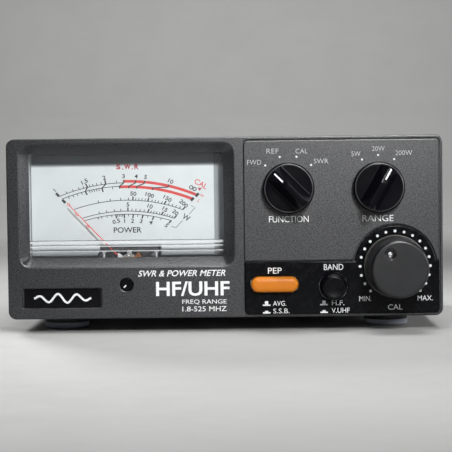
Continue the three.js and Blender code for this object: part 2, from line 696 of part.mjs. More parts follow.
function socketPlaces() {
  return [
    { name: "hf_antenna", x: -SOCKET.far, kind: "uhf" },
    { name: "hf_transmitter", x: -SOCKET.near, kind: "uhf" },
    { name: "vhf_antenna", x: SOCKET.near, kind: "n" },
    { name: "vhf_transmitter", x: SOCKET.far, kind: "n" },
  ];
}

const SOCKET_Y = REAR.y + REAR.t + GAP; // the back of each socket's flange

function socketShell({ x, kind }) {
  const { z, flange, t, r, bore } = SOCKET;
  const reach = kind === "uhf" ? UHF_BARREL : N_BARREL;
  const end = SOCKET_Y + t + reach;
  const square = plate(centredOutline(x, z, flange, flange, 1.5), SOCKET_Y, SOCKET_Y + t, 3);
  const hole = kind === "uhf" ? bore : 4.2;
  const screwHoles = [-1, 1].flatMap((a) =>
    [-1, 1].map((b) => rod(1.65, SOCKET_Y - 1, SOCKET_Y + t + 1, x + 9.1 * a, z + 9.1 * b, 10)),
  );
  return cut(
    union(square, rod(r, SOCKET_Y, end, x, z, 28)),
    rod(hole, SOCKET_Y - 1, end + 1, x, z, 24),
    ...screwHoles,
  );
}

function socketInsulator({ x, kind }) {
  const { z, bore } = SOCKET;
  const uhf = kind === "uhf";
  const front = uhf ? SOCKET_Y + SOCKET.t + UHF_BARREL - 1.5 : SOCKET_Y + 2.5;
  const body = rod(uhf ? bore - 0.3 : 3.9, REAR.y - 2.6, front, x, z, 24);
  return cut(body, rod((uhf ? 2.6 : 1.5) + 0.2, 90, front + 1, x, z, 20));
}

// A sensor's through-line: two socket contacts joined by a rod or a strip.
function throughLine(side, kind) {
  const uhf = kind === "uhf";
  const y = SENSOR.y0 + 20;
  const [a, b] = [side * SOCKET.near, side * SOCKET.far].sort((p, q) => p - q);
  const end = SOCKET_Y + SOCKET.t + (uhf ? UHF_BARREL - 0.8 : N_BARREL - 3);
  const contacts = [a, b].map((x) => {
    const tube = rod(uhf ? 2.6 : 1.5, y - 1, end, x, SOCKET.z, 24);
    return cut(tube, rod(uhf ? 2 : 0.85, end - 10, end + 1, x, SOCKET.z, 20));
  });
  const link = uhf
    ? rodAlongX(1.6, a, b, y, SOCKET.z, 20)
    : box(a, b, y - 0.5, y + 0.5, SOCKET.z - 3, SOCKET.z + 3);
  return union(link, ...contacts);
}

// A cast sensor box, open to the front, with holes for its two sockets.
function sensorBox(side) {
  const { w, h, y0, wall } = SENSOR;
  const x = side * SENSOR.x;
  const y1 = REAR.y - GAP;
  const outside = plate(centredOutline(x, SOCKET.z, w, h, 2), y0, y1, 4);
  const inside = box(
    x - w / 2 + wall, x + w / 2 - wall, y0 - 1, y1 - wall, SOCKET.z - h / 2 + wall, SOCKET.z + h / 2 - wall,
  );
  const holes = [SOCKET.near, SOCKET.far].map((dx) => rod(6.6, y0, y1 + 1, side * dx, SOCKET.z));
  return cut(outside, inside, ...holes);
}

function toroid() {
  const [x, y, z] = [-SENSOR.x, SENSOR.y0 + 20, SOCKET.z];
  return cut(rodAlongX(7, x - 3, x + 3, y, z, 28), rodAlongX(3, x - 4, x + 4, y, z, 20));
}

function dcJack() {
  const { x, z, r, nut } = DC;
  const [back, front] = [88, REAR.y + REAR.t + 3.4];
  const body = union(box(x - 5, x + 5, back, REAR.y - GAP, z - 5.2, z + 5.2), rod(r, 99, front, x, z));
  const pin = rod(1.05, back + 2, front - 1, x, z, 16);
  return union(cut(body, rod(2.75, back + 3, front + 1, x, z, 24)), pin, hexRing(x, z, nut, r));
}

// The nut on the jack's thread, made as one with it.
function hexRing(x, z, across, r) {
  const hex = rod(across, REAR.y + REAR.t + GAP, REAR.y + REAR.t + GAP + 2, x, z, 6);
  return cut(hex, rod(r - 0.1, 90, 120, x, z));
}

function addRear() {
  add("rear_panel", rearPanel(), "paint");
  for (const place of socketPlaces()) {
    add(`${place.name}_socket`, socketShell(place), "nickel");
    add(`${place.name}_insulator`, socketInsulator(place), "white");
  }
  add("hf_through_line", throughLine(-1, "uhf"), "brass");
  add("vhf_through_line", throughLine(1, "n"), "brass");
  add("hf_sensor_box", sensorBox(-1), "alloy");
  add("vhf_sensor_box", sensorBox(1), "alloy");
  add("hf_toroid", toroid(), "ferrite");
  add("dc_jack", dcJack(), "black");
}

addFront();
addCase();
addControls();
addMeter();
addRear();

export default object;
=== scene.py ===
"""Looks for the SWR meter: moulded front, printed dial, knobs, buttons, painted case and rear sockets.

Lengths are in millimetres from the middle of the bezel's front face, x right, y back, z up,
and at() turns them into the row frame's metres.
"""

import math

import bmesh
import bpy
from mathutils import Matrix, Vector
from mathutils.geometry import tessellate_polygon


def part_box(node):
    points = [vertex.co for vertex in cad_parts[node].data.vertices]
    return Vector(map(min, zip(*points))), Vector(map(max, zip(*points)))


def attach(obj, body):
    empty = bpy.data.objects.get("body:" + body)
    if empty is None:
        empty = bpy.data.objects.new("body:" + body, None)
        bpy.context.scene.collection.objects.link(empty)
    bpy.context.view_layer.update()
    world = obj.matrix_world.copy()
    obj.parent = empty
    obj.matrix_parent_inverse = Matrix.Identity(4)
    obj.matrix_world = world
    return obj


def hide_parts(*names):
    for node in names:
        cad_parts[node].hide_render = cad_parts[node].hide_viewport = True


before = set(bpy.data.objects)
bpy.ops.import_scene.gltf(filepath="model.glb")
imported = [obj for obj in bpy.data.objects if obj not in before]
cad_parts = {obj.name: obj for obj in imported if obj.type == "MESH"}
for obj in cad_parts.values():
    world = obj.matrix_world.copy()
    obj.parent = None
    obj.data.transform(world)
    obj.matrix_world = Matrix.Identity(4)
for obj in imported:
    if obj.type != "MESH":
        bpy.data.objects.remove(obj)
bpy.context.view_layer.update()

MM = 0.001
_low, _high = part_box("front_bezel")
ORIGIN = Vector(((_low.x + _high.x) / 2, _low.y, (_low.z + _high.z) / 2))


def at(x, y, z):
    """A point of the instrument, in the row frame."""
    return ORIGIN + Vector((x, y, z)) * MM


def local_box(node):
    """A CAD node's box as (x0, y0, z0, x1, y1, z1) in the instrument's millimetres."""
    low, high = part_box(node)
    return (*((low - ORIGIN) / MM), *((high - ORIGIN) / MM))


def nodes(part):
    """The names of the CAD nodes that hold this part of a name."""
    return [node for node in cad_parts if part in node]


def put(name, data):
    """A new object in the scene."""
    obj = bpy.data.objects.new(name, data)
    bpy.context.scene.collection.objects.link(obj)
    return obj


def middle(node):
    """The x and z of the middle of a CAD node's box."""
    x0, _, z0, x1, _, z1 = local_box(node)
    return (x0 + x1) / 2, (z0 + z1) / 2


# ---- outlines in x and z


def arc(x, z, r, start, end, steps):
    """Points on an arc, in degrees counter-clockwise from +x, both ends included."""
    angles = [math.radians(start + (end - start) * i / steps) for i in range(steps + 1)]
    return [(x + r * math.cos(a), z + r * math.sin(a)) for a in angles]


def circle(x, z, r, steps=48):
    return arc(x, z, r, 0, 360, steps)[:-1]


def rounded(left, right, bottom, top, r, steps=8):
    return (
        arc(right - r, top - r, r, 0, 90, steps)
        + arc(left + r, top - r, r, 90, 180, steps)
        + arc(left + r, bottom + r, r, 180, 270, steps)
        + arc(right - r, bottom + r, r, 270, 360, steps)
    )


def pill(x, z, w, h, steps=16):
    r = h / 2
    run = w / 2 - r
    return arc(x + run, z, r, -90, 90, steps) + arc(x - run, z, r, 90, 270, steps)


def offset(points, distance):
    """The outline moved to its left, which is inwards for one that runs counter-clockwise."""
    moved = []
    for i, (bx, bz) in enumerate(points):
        ax, az = points[i - 1]
        cx, cz = points[(i + 1) % len(points)]
        u = Vector((bx - ax, bz - az)).normalized()
        v = Vector((cx - bx, cz - bz)).normalized()
        reach = distance / max(0.3, 1 + u.dot(v))  # the limit holds a sharp corner back
        moved.append((bx - (u.y + v.y) * reach, bz + (u.x + v.x) * reach))
    return moved


def round_edge(r, y, steps=4, lip=0.12):
    """(inset, y) pairs of a rounded edge that starts on a face at y and turns backwards.
    The flat lip that comes first keeps the rounding's shading off the face."""
    bends = [math.pi / 2 * i / steps for i in range(steps + 1)]
    return [(r + lip, y)] + [(r * (1 - math.sin(a)), y + r * (1 - math.cos(a))) for a in bends]


def from_y(y, *pairs):
    """(radius or inset, y) pairs whose y is given from this one."""
    return [(r, y + deep) for r, deep in pairs]


def rings_of(points, insets):
    return [[(x, y, z) for x, z in offset(points, inset)] for inset, y in insets]


# ---- meshes

AXIS = 1e-4  # the radius that stands for zero: the weld closes it
WELD = 2e-7  # metres within which vertices become one


class Shape:
    """Vertices and faces in the instrument's millimetres."""

    def __init__(self):
        self.verts, self.faces, self.slots = [], [], []

    def add(self, verts, faces, slot=0):
        base = len(self.verts)
        self.verts += [tuple(v) for v in verts]
        self.faces += [tuple(base + i for i in face) for face in faces]
        self.slots += [slot] * len(faces)

    def skin(self, rings, slot=0, slot_after=None):
        """Bands of quads between rings; from the ring numbered slot_after on, in slot 1."""
        n = len(rings[0])
        for k in range(len(rings) - 1):
            quads = [(i, (i + 1) % n, n + (i + 1) % n, n + i) for i in range(n)]
            which = 1 if slot_after is not None and k >= slot_after else slot
            self.add(rings[k] + rings[k + 1], quads, which)

    def net(self, rows, slot=0):
        """Quads between open rows of points."""
        n = len(rows[0])
        quads = []
        for k in range(len(rows) - 1):
            quads += [(k * n + i, k * n + i + 1, (k + 1) * n + i + 1, (k + 1) * n + i) for i in range(n - 1)]
        self.add([p for row in rows for p in row], quads, slot)

    def cap(self, loops, slot=0):
        """A flat face bounded by the first loop, with the other loops as holes."""
        loops = [[Vector(p) for p in loop] for loop in loops]
        self.add([p for loop in loops for p in loop], tessellate_polygon(loops), slot)

    def turn(self, degrees, x=0.0, z=0.0):
        """Turns everything clockwise, as the front is seen, and moves it to x, z."""
        c, s = math.cos(math.radians(degrees)), math.sin(math.radians(degrees))
        self.verts = [(x + a * c + b * s, y, z - a * s + b * c) for a, y, b in self.verts]
        return self

    def plate(self, outer, holes=(), slot=0, slot_after=None):
        """A solid from the rings of its outline and of its holes, front to back.
        A hole given as ("blind", rings) closes at its last ring."""
        through = [h for h in holes if h[0] != "blind"]
        blind = [h[1] for h in holes if h[0] == "blind"]
        self.cap([outer[0]] + [h[0] for h in through] + [h[0] for h in blind], slot)
        self.cap([outer[-1]] + [h[-1] for h in through], slot)
        self.skin(outer, slot, slot_after)
        for rings in [*through, *blind]:
            self.skin(rings, slot)
        for rings in blind:
            self.cap([rings[-1]], slot)
        return self

    def lathe(self, profile, x=0.0, z=0.0, steps=64, slot=0, ripple=None):
        """A profile of (radius, y) turned about y; ripple(angle, k) adds to the radius."""
        rings = []
        for k, (r, y) in enumerate(profile):
            ring = []
            for i in range(steps):
                a = 2 * math.pi * i / steps
                reach = max(r, AXIS) + (ripple(a, k) if ripple else 0)
                ring.append((x + reach * math.cos(a), y, z + reach * math.sin(a)))
            rings.append(ring)
        self.skin(rings, slot)
        return self

    def along_x(self, profile, y, z, steps):
        """A profile of (radius, x) turned about x."""
        self.skin([[(x, a, b) for a, b in circle(y, z, max(r, AXIS), steps)] for r, x in profile])
        return self

    def mesh(self, name, place):
        """A mesh of the faces and their slots; place turns a vertex into a point in metres."""
        mesh = bpy.data.meshes.new(name)
        mesh.from_pydata([place(*v) for v in self.verts], [], self.faces)
        for polygon, slot in zip(mesh.polygons, self.slots):
            polygon.material_index = slot
        return mesh


def tidy(mesh, crease, bevel=0.0):
    """Welds a mesh, turns its faces outwards and sharpens the edges over crease degrees.
    With a bevel, in millimetres, the hard edges of a CAD mesh are eased first."""
    bm = bmesh.new()
    bm.from_mesh(mesh)
    bmesh.ops.remove_doubles(bm, verts=bm.verts, dist=WELD)
    bmesh.ops.dissolve_degenerate(bm, edges=bm.edges, dist=WELD / 2)
    if bevel:
        coplanar, hard = math.radians(0.5), math.radians(30)
        bmesh.ops.dissolve_limit(bm, angle_limit=coplanar, verts=bm.verts, edges=bm.edges)
        edges = [e for e in bm.edges if len(e.link_faces) == 2 and e.calc_face_angle() > hard]
        bmesh.ops.bevel(
            bm, geom=edges, offset=bevel * MM, segments=2, profile=0.5, affect="EDGES", clamp_overlap=True
        )
        bmesh.ops.triangulate(bm, faces=[f for f in bm.faces if len(f.verts) > 4])
    bmesh.ops.recalc_face_normals(bm, faces=bm.faces)
    limit = math.radians(crease)
    for face in bm.faces:
        face.smooth = True
    for edge in bm.edges:
        edge.smooth = len(edge.link_faces) == 2 and edge.calc_face_angle() < limit
    bm.to_mesh(mesh)
    bm.free()


def piece(name, shape, materials, body="case", replaces=(), crease=38, weigh=True):
    """A new piece from a shape in the instrument's millimetres."""
    return show(name, shape.mesh(name, at), materials, body, replaces, crease, weigh)


def flat(name, shape, materials, body="case"):
    """A new flat piece, such as printing."""
    return piece(name, shape, materials, body, weigh=False)


def show(name, mesh, materials, body, replaces=(), crease=38, weigh=True, bevel=0.0):
    """Puts a mesh in the scene on its body; weigh keeps its flat faces looking flat."""
    tidy(mesh, crease, bevel)
    for material in materials if isinstance(materials, (list, tuple)) else [materials]:
        mesh.materials.append(material)
    obj = put(name, mesh)
    if weigh:
        weighted = obj.modifiers.new("flat_faces", "WEIGHTED_NORMAL")
        weighted.keep_sharp = True
        weighted.weight = 80
    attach(obj, body)
    if replaces:
        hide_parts(*replaces)
    return obj


def refined(node, material, bevel, body="case", crease=38):
    """A copy of a CAD node with its hard edges eased, standing for it."""
    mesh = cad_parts[node].data.copy()
    mesh.name = f"{node}_look"
    mesh.materials.clear()
    return show(f"{node}_look", mesh, material, body, (node,), bevel=bevel, crease=crease)


# ---- materials


class Nodes:
    """A short way to write a shader graph."""

    def __init__(self, name):
        self.material = bpy.data.materials.new(name)
        self.material.use_nodes = True
        self.tree = self.material.node_tree
        self.shader = self.tree.nodes["Principled BSDF"]
        self.place = self.new("ShaderNodeTexCoord").outputs["Object"]

    def new(self, kind, **settings):
        node = self.tree.nodes.new(kind)
        for key, value in settings.items():
            setattr(node, key, value)
        return node

    def link(self, source, target):
        self.tree.links.new(source, target)

    def stretched(self, x, y, z):
        mapping = self.new("ShaderNodeMapping")
        mapping.inputs["Scale"].default_value = (x, y, z)
        self.link(self.place, mapping.inputs["Vector"])
        return mapping.outputs["Vector"]

    def noise(self, size_mm, detail=3.0, vector=None, rough=0.55):
        node = self.new("ShaderNodeTexNoise")
        node.inputs["Scale"].default_value = 1 / (size_mm * MM)
        node.inputs["Detail"].default_value = detail
        node.inputs["Roughness"].default_value = rough
        self.link(vector or self.place, node.inputs["Vector"])
        return node.outputs["Fac"]

    def cells(self, size_mm, feature="DISTANCE_TO_EDGE"):
        node = self.new("ShaderNodeTexVoronoi", feature=feature)
        node.inputs["Scale"].default_value = 1 / (size_mm * MM)
        self.link(self.place, node.inputs["Vector"])
        return node.outputs["Distance"]

    def remap(self, source, low, high, to_low, to_high):
        node = self.new("ShaderNodeMapRange")
        for key, value in zip(("From Min", "From Max", "To Min", "To Max"), (low, high, to_low, to_high)):
            node.inputs[key].default_value = value
        self.link(source, node.inputs["Value"])
        return node.outputs["Result"]

    def level(self, noise, low, high):
        """Values from low to high over the middle of a noise, where most of it lies."""
        return self.remap(noise, 0.3, 0.7, low, high)

    def mix(self, factor, first, second):
        node = self.new("ShaderNodeMix", data_type="RGBA")
        self.link(factor, node.inputs["Factor"])
        for socket, value in ((node.inputs[6], first), (node.inputs[7], second)):
            if isinstance(value, tuple):
                socket.default_value = (*value, 1)
            else:
                self.link(value, socket)
        return node.outputs[2]

    def bump(self, height, strength, depth_mm, normal=None):
        node = self.new("ShaderNodeBump")
        node.inputs["Strength"].default_value = strength
        node.inputs["Distance"].default_value = depth_mm * MM
        self.link(height, node.inputs["Height"])
        if normal:
            self.link(normal, node.inputs["Normal"])
        return node.outputs["Normal"]

    def set(self, **values):
        for key, value in values.items():
            socket = self.shader.inputs[key.replace("_", " ")]
            if isinstance(value, (int, float)):
                socket.default_value = value
            elif isinstance(value, tuple):
                socket.default_value = (*value, 1)
            else:
                self.link(value, socket)
        return self.material


def shade(color, factor):
    return tuple(min(1.0, c * factor) for c in color)


def surface(
    name, color, rough, metal=0.0, vary=0.12, grain=0.4, bump=0.15,
    depth=0.03, spread=0.08, wear=None, shine=0.5,
):
    """A plain finish with fine grain, slow blotches, uneven roughness and, with wear, rubbed edges.
    grain and depth are in millimetres; shine is the strength of its reflections."""
    n = Nodes(name)
    fine = n.noise(grain, 3)
    slow = n.noise(grain * 30, 2)
    tone = n.mix(n.level(slow, 0, 1), shade(color, 1 - vary), shade(color, 1 + vary))
    tone = n.mix(n.remap(fine, 0.35, 0.65, 0, vary), tone, shade(color, 0.45))
    if wear:
        rubbed = n.remap(n.new("ShaderNodeNewGeometry").outputs["Pointiness"], 0.52, 0.62, 0, 0.55)
        tone = n.mix(rubbed, tone, wear)
    return n.set(
        Base_Color=tone,
        Roughness=n.level(n.noise(grain * 9, 2), max(0.02, rough - spread), rough + spread),
        Metallic=metal,
        Specular_IOR_Level=shine,
        Normal=n.bump(fine, bump, depth),
    )


def textured_plastic(name, color, rough):
    """Spark-eroded mould texture: dense shallow pits with a faint speckle."""
    n = Nodes(name)
    pits = n.cells(0.3, "F1")
    fine = n.noise(0.5, 3, rough=0.6)
    slow = n.noise(22, 2)
    tone = n.mix(n.level(slow, 0, 1), shade(color, 0.93), shade(color, 1.08))
    tone = n.mix(n.remap(fine, 0.48, 0.66, 0, 0.8), tone, shade(color, 2.2))
    tone = n.mix(n.remap(fine, 0.5, 0.34, 0, 0.7), tone, shade(color, 0.45))
    tone = n.mix(n.remap(pits, 0.25, 0.75, 0, 0.2), tone, shade(color, 0.5))
    return n.set(
        Base_Color=tone,
        Roughness=n.level(fine, rough - 0.08, rough + 0.1),
        Normal=n.bump(fine, 0.65, 0.06, n.bump(pits, 0.35, 0.05)),
        Specular_IOR_Level=n.remap(fine, 0.36, 0.64, 0.55, 1.0),
    )


def crackle_paint(name, color):
    """Baked paint with small raised cells."""
    n = Nodes(name)
    cells = n.cells(0.9)
    fine = n.noise(0.3, 3)
    ridge = n.remap(cells, 0.0, 0.35, 0, 1)
    tone = n.mix(ridge, shade(color, 0.6), shade(color, 1.25))
    return n.set(
        Base_Color=tone,
        Roughness=n.level(fine, 0.55, 0.72),
        Normal=n.bump(fine, 0.2, 0.03, n.bump(ridge, 0.45, 0.09)),
        Specular_IOR_Level=0.35,
    )


def brushed(name, color, rough, axis, bump=0.12):
    """Metal with fine scratches along one axis."""
    n = Nodes(name)
    scale = {"x": (0.04, 1, 1), "y": (1, 0.04, 1), "z": (1, 1, 0.04)}[axis]
    lines = n.noise(0.25, 3, n.stretched(*scale))
    slow = n.noise(14, 2)
    tone = n.mix(n.level(slow, 0, 1), shade(color, 0.88), shade(color, 1.08))
    return n.set(
        Base_Color=tone,
        Metallic=1.0,
        Roughness=n.level(lines, rough - 0.07, rough + 0.12),
        Normal=n.bump(lines, bump, 0.02),
    )


def clear(name, color, alpha, rough):
    """Clear moulding: faint haze that is uneven, and stronger at a glancing angle."""
    n = Nodes(name)
    n.material.surface_render_method = "DITHERED"
    haze = n.noise(6, 2)
    rim = n.new("ShaderNodeLayerWeight")
    rim.inputs["Blend"].default_value = 0.25
    return n.set(
        Base_Color=color,
        Roughness=n.level(haze, rough * 0.6, rough * 1.4),
        Alpha=n.remap(rim.outputs["Facing"], 0.0, 1.0, alpha, min(1.0, alpha + 0.4)),
        Normal=n.bump(n.noise(9, 1), 0.05, 0.05),
    )


def shade_strip(name, z_dark, z_clear, alpha=0.62):
    """A painted shadow strip that thins out downwards, from z_dark to z_clear in millimetres."""
    n = Nodes(name)
    parts = n.new("ShaderNodeSeparateXYZ")
    n.link(n.place, parts.inputs["Vector"])
    fade = n.remap(parts.outputs["Z"], at(0, 0, z_clear).z, at(0, 0, z_dark).z, 0.0, alpha)
    tone = n.mix(n.noise(3, 2), (0.012, 0.014, 0.016), (0.018, 0.02, 0.022))
    return n.set(Base_Color=tone, Roughness=0.3, Alpha=fade, Specular_IOR_Level=0.1)


BEZEL = textured_plastic("bezel_grey", (0.0075, 0.0084, 0.0105), 0.35)
# black for real black parts, and painted shade in the screws' flat cross recesses
BLACK_AND_SHADE = surface(
    "black_and_painted_shade", (0.012, 0.012, 0.013), 0.55, vary=0.06, grain=0.3, bump=0.2, spread=0.02, shine=0.3
)
PANEL = surface("panel_black", (0.0028, 0.003, 0.004), 0.25, grain=0.25, bump=0.06, shine=0.1)
KNOB = surface("knob_black", (0.002, 0.002, 0.0035), 0.22, grain=0.6, bump=0.01, spread=0.03, shine=0.16)
# the bar knobs' grey ring: partly a painted highlight of its chamfer
RING_GREY_AND_HIGHLIGHT = surface("knob_ring_grey_and_highlight", (0.05, 0.05, 0.053), 0.36, grain=0.3, bump=0.06)
# painted highlight along the calibration knob's flange edge
RIM_HIGHLIGHT = surface("cal_knob_rim_highlight", (0.13, 0.127, 0.112), 0.4, grain=0.3, bump=0.06)
CAL_BLACK = surface("cal_knob_black", (0.003, 0.0034, 0.0048), 0.35, grain=0.5, bump=0.3, spread=0.025)
BUTTON = surface("button_black", (0.002, 0.002, 0.0032), 0.28, grain=0.3, bump=0.05, spread=0.03, shine=0.12)
WORN_ORANGE = (0.66, 0.25, 0.04)
ORANGE = surface(
    "button_orange", (0.58, 0.172, 0.008), 0.4, vary=0.05, grain=0.3, bump=0.06, wear=WORN_ORANGE, shine=0.25
)
LEGEND = {"vary": 0.06, "grain": 0.15, "bump": 0.1}
WHITE_INK = surface("legend_white", (0.78, 0.79, 0.80), 0.55, **LEGEND)
DIM_INK = surface("legend_grey", (0.42, 0.43, 0.44), 0.55, **LEGEND)
DIAL = surface("dial_card", (0.72, 0.77, 0.78), 0.6, vary=0.025, grain=0.2, bump=0.05)
BLACK_INK = surface("dial_ink_black", (0.016, 0.018, 0.022), 0.6, vary=0.1, grain=0.1, bump=0.05)
RED_INK = surface("dial_ink_red", (0.70, 0.055, 0.05), 0.6, vary=0.08, grain=0.1, bump=0.05)
RED_DARK = surface("dial_ink_crimson", (0.42, 0.012, 0.03), 0.6, vary=0.08, grain=0.1, bump=0.05)
NEEDLE = surface("needle_red", (0.85, 0.05, 0.045), 0.45, vary=0.05, grain=0.2, bump=0.04)
CASE = crackle_paint("case_paint", (0.018, 0.018, 0.020))
MATT = {"vary": 0.1, "grain": 0.35, "bump": 0.25, "depth": 0.05}
RUBBER = surface("foot_rubber", (0.02, 0.021, 0.024), 0.78, **MATT)
# painted light: the pale lower band of the feet
FOOT_PAINTED_LIGHT = surface("foot_painted_light", (0.26, 0.28, 0.33), 0.78, **MATT)
STEEL = brushed("plated_steel", (0.60, 0.61, 0.60), 0.34, "x")
SCREW = brushed("screw_black", (0.10, 0.10, 0.105), 0.38, "z")
NICKEL = brushed("nickel", (0.72, 0.71, 0.67), 0.22, "x", 0.06)
TIN = surface("bright_tin", (0.80, 0.81, 0.82), 0.35, 0.25, vary=0.06, grain=0.2, bump=0.05)
BRASS = brushed("brass", (0.72, 0.52, 0.22), 0.26, "y", 0.08)
BRONZE = brushed("spring_bronze", (0.66, 0.42, 0.18), 0.3, "x", 0.06)
COPPER = brushed("coil_copper", (0.86, 0.34, 0.13), 0.3, "y", 0.3)
ALLOY = brushed("cast_alloy", (0.52, 0.53, 0.54), 0.48, "y", 0.1)
IRON = surface("soft_iron", (0.10, 0.10, 0.105), 0.45, 0.8, bump=0.2)
FERRITE = surface("ferrite", (0.05, 0.05, 0.055), 0.7, grain=0.5, bump=0.3)
PTFE = surface("ptfe", (0.78, 0.78, 0.75), 0.42, vary=0.04, bump=0.05)
MOULDING = surface("white_moulding", (0.66, 0.68, 0.68), 0.5, vary=0.05, grain=0.35, bump=0.08)
BOARD = surface("circuit_board", (0.03, 0.17, 0.07), 0.38, grain=0.5, bump=0.1)
LENS = clear("lens_clear", (0.75, 0.8, 0.82), 0.018, 0.06)
# pale lens walls and rib bars: painted highlights
LENS_HIGHLIGHT = clear("lens_painted_highlight", (0.95, 0.97, 0.98), 0.42, 0.12)
# dark lines along the ribs' top edges: painted shade
RIB_SHADE_LINE = clear("lens_rib_painted_shade", (0.12, 0.13, 0.14), 0.4, 0.2)
# painted shadow of the bezel's top edge across the top of the dial card
SHADE = shade_strip("dial_shade", 23.6, 21.9)
# painted shade along the card's right edge, where the window's right wall shades it
SIDE_SHADE = clear("dial_side_shade", (0.045, 0.052, 0.053), 0.36, 0.3)
GLASS = clear("lamp_glass", (0.96, 0.94, 0.88), 0.3, 0.08)
FLOOR = surface("floor_pale", (0.33, 0.33, 0.325), 0.8, vary=0.02, grain=1.5, bump=0.03)


# ---- lettering


INK_LIFT = 0.02  # how far printing stands off its surface


def words(shape, text, x, z, height, y, width=None, degrees=0.0, bold=0.0, lean=0.0, slot=0, broad=1.0):
    """Adds lettering centred on x, z, as wide as given or else broad times its natural width.
    degrees turns it clockwise, bold thickens its strokes and lean slants it."""
    curve = bpy.data.curves.new("words", "FONT")
    curve.body = text
    curve.size = 1.0
    curve.offset = bold
    curve.resolution_u = 3
    holder = put("words", curve)
    bpy.context.view_layer.update()
    mesh = bpy.data.meshes.new_from_object(holder.evaluated_get(bpy.context.evaluated_depsgraph_get()))
    points = [(v.co.x, v.co.y) for v in mesh.vertices]
    faces = [tuple(p.vertices) for p in mesh.polygons]
    bpy.data.objects.remove(holder)
    bpy.data.curves.remove(curve)
    bpy.data.meshes.remove(mesh)
    x0, x1 = min(p[0] for p in points), max(p[0] for p in points)
    z0, z1 = min(p[1] for p in points), max(p[1] for p in points)
    tall = height / (z1 - z0)
    wide = width / (x1 - x0) if width else tall * broad
    c, s = math.cos(math.radians(degrees)), math.sin(math.radians(degrees))
    placed = []
    for px, pz in points:
        b = (pz - (z0 + z1) / 2) * tall
        a = (px - (x0 + x1) / 2) * wide + b * lean
        placed.append((x + a * c + b * s, y, z - a * s + b * c))
    shape.add(placed, faces, slot)


def legend(shape, y, rows, **look):
    """Lettering at one y, from rows of text, x, z, height and width."""
    for text, x, z, height, width in rows:
        words(shape, text, x, z, height, y, width, **look)


def dots(shape, places, r, y, slot=0):
    for x, z in places:
        shape.cap([[(a, y, b) for a, b in circle(x, z, r, 16)]], slot)


def block(shape, left, right, bottom, top, y, r=0.1, steps=1):
    """A flat rounded rectangle."""
    shape.cap([[(x, y, z) for x, z in rounded(left, right, bottom, top, r, steps)]])


def strip(shape, points, width, y, slot=0):
    """A flat line of even width through points in x and z."""
    left, right = [], []
    for i, (x, z) in enumerate(points):
        ax, az = points[max(i - 1, 0)]
        bx, bz = points[min(i + 1, len(points) - 1)]
        u = Vector((bx - ax, bz - az)).normalized() * (width / 2)
        left.append((x - u.y, y, z + u.x))
        right.append((x + u.y, y, z - u.x))
    shape.net([left, right], slot)


def around(x, z, r, degrees):
    """The point r from x, z at an angle clockwise from straight up."""
    a = math.radians(degrees)
    return x + r * math.sin(a), z + r * math.cos(a)


# ---- front bezel and control panel

FUNCTION_X, KNOB_Z = middle("function_shaft")
RANGE_X = middle("range_shaft")[0]
CAL_X, CAL_Z = middle("cal_shaft")
PEP_X, PEP_Z = middle("pep_plunger")
BAND_X, BAND_Z = middle("band_plunger")
ZERO_X, ZERO_Z = middle("zero_screw")
BADGE = local_box("badge_plate")
AREA = (6.7, 76.5, -31.45, 31.0)  # the control area, with the middle of its groove as outline
GROOVE = 0.45
PANEL_TOP = -12.5
ARCH = 14.55  # the radius of the black panel's arch
RECESS_OUT = (-72.4, 2.7, -13.1, 29.55)  # the recess round the window, at the face
RECESS_IN = (-70.0, -0.35, -10.5, 26.9)  # and at its foot
WALL = 4.0  # y of the back of the bezel's front wall
FIELD = 1.0  # y of the bezel's own face behind the grey field and the panel


def arch_panel(grow):
    """The black panel's outline, with its arch round the calibration knob."""
    left, right = AREA[0] + GROOVE / 2 - grow, AREA[1] - GROOVE / 2 + grow
    bottom, top = AREA[2] + GROOVE / 2 - grow, PANEL_TOP + grow
    r = ARCH + grow
    rise = math.degrees(math.asin((top - CAL_Z) / r))
    return (
        arc(left + 1.6, bottom + 1.6, 1.6, 180, 270, 6)
        + arc(right - 1.8, bottom + 1.8, 1.8, 270, 360, 6)
        + [(right, top)]
        + arc(CAL_X, CAL_Z, r, rise, 180 - rise, 48)
        + [(left, top)]
    )


def grey_field(gap):
    """The outline of the grey control field above the black panel."""
    left, right = AREA[0] + GROOVE / 2, AREA[1] - GROOVE / 2
    bottom, top = PANEL_TOP + gap, AREA[3] - GROOVE / 2
    r = ARCH + gap
    rise = math.degrees(math.asin((bottom - CAL_Z) / r))
    return (
        [(left, bottom)]
        + arc(CAL_X, CAL_Z, r, 180 - rise, rise, 48)
        + [(right, bottom)]
        + arc(right - 1.4, top - 1.4, 1.4, 0, 90, 6)
        + arc(left + 1.4, top - 1.4, 1.4, 90, 180, 6)
    )


def hole(points, insets):
    """The rings of a hole through a plate."""
    return rings_of(points[::-1], insets)


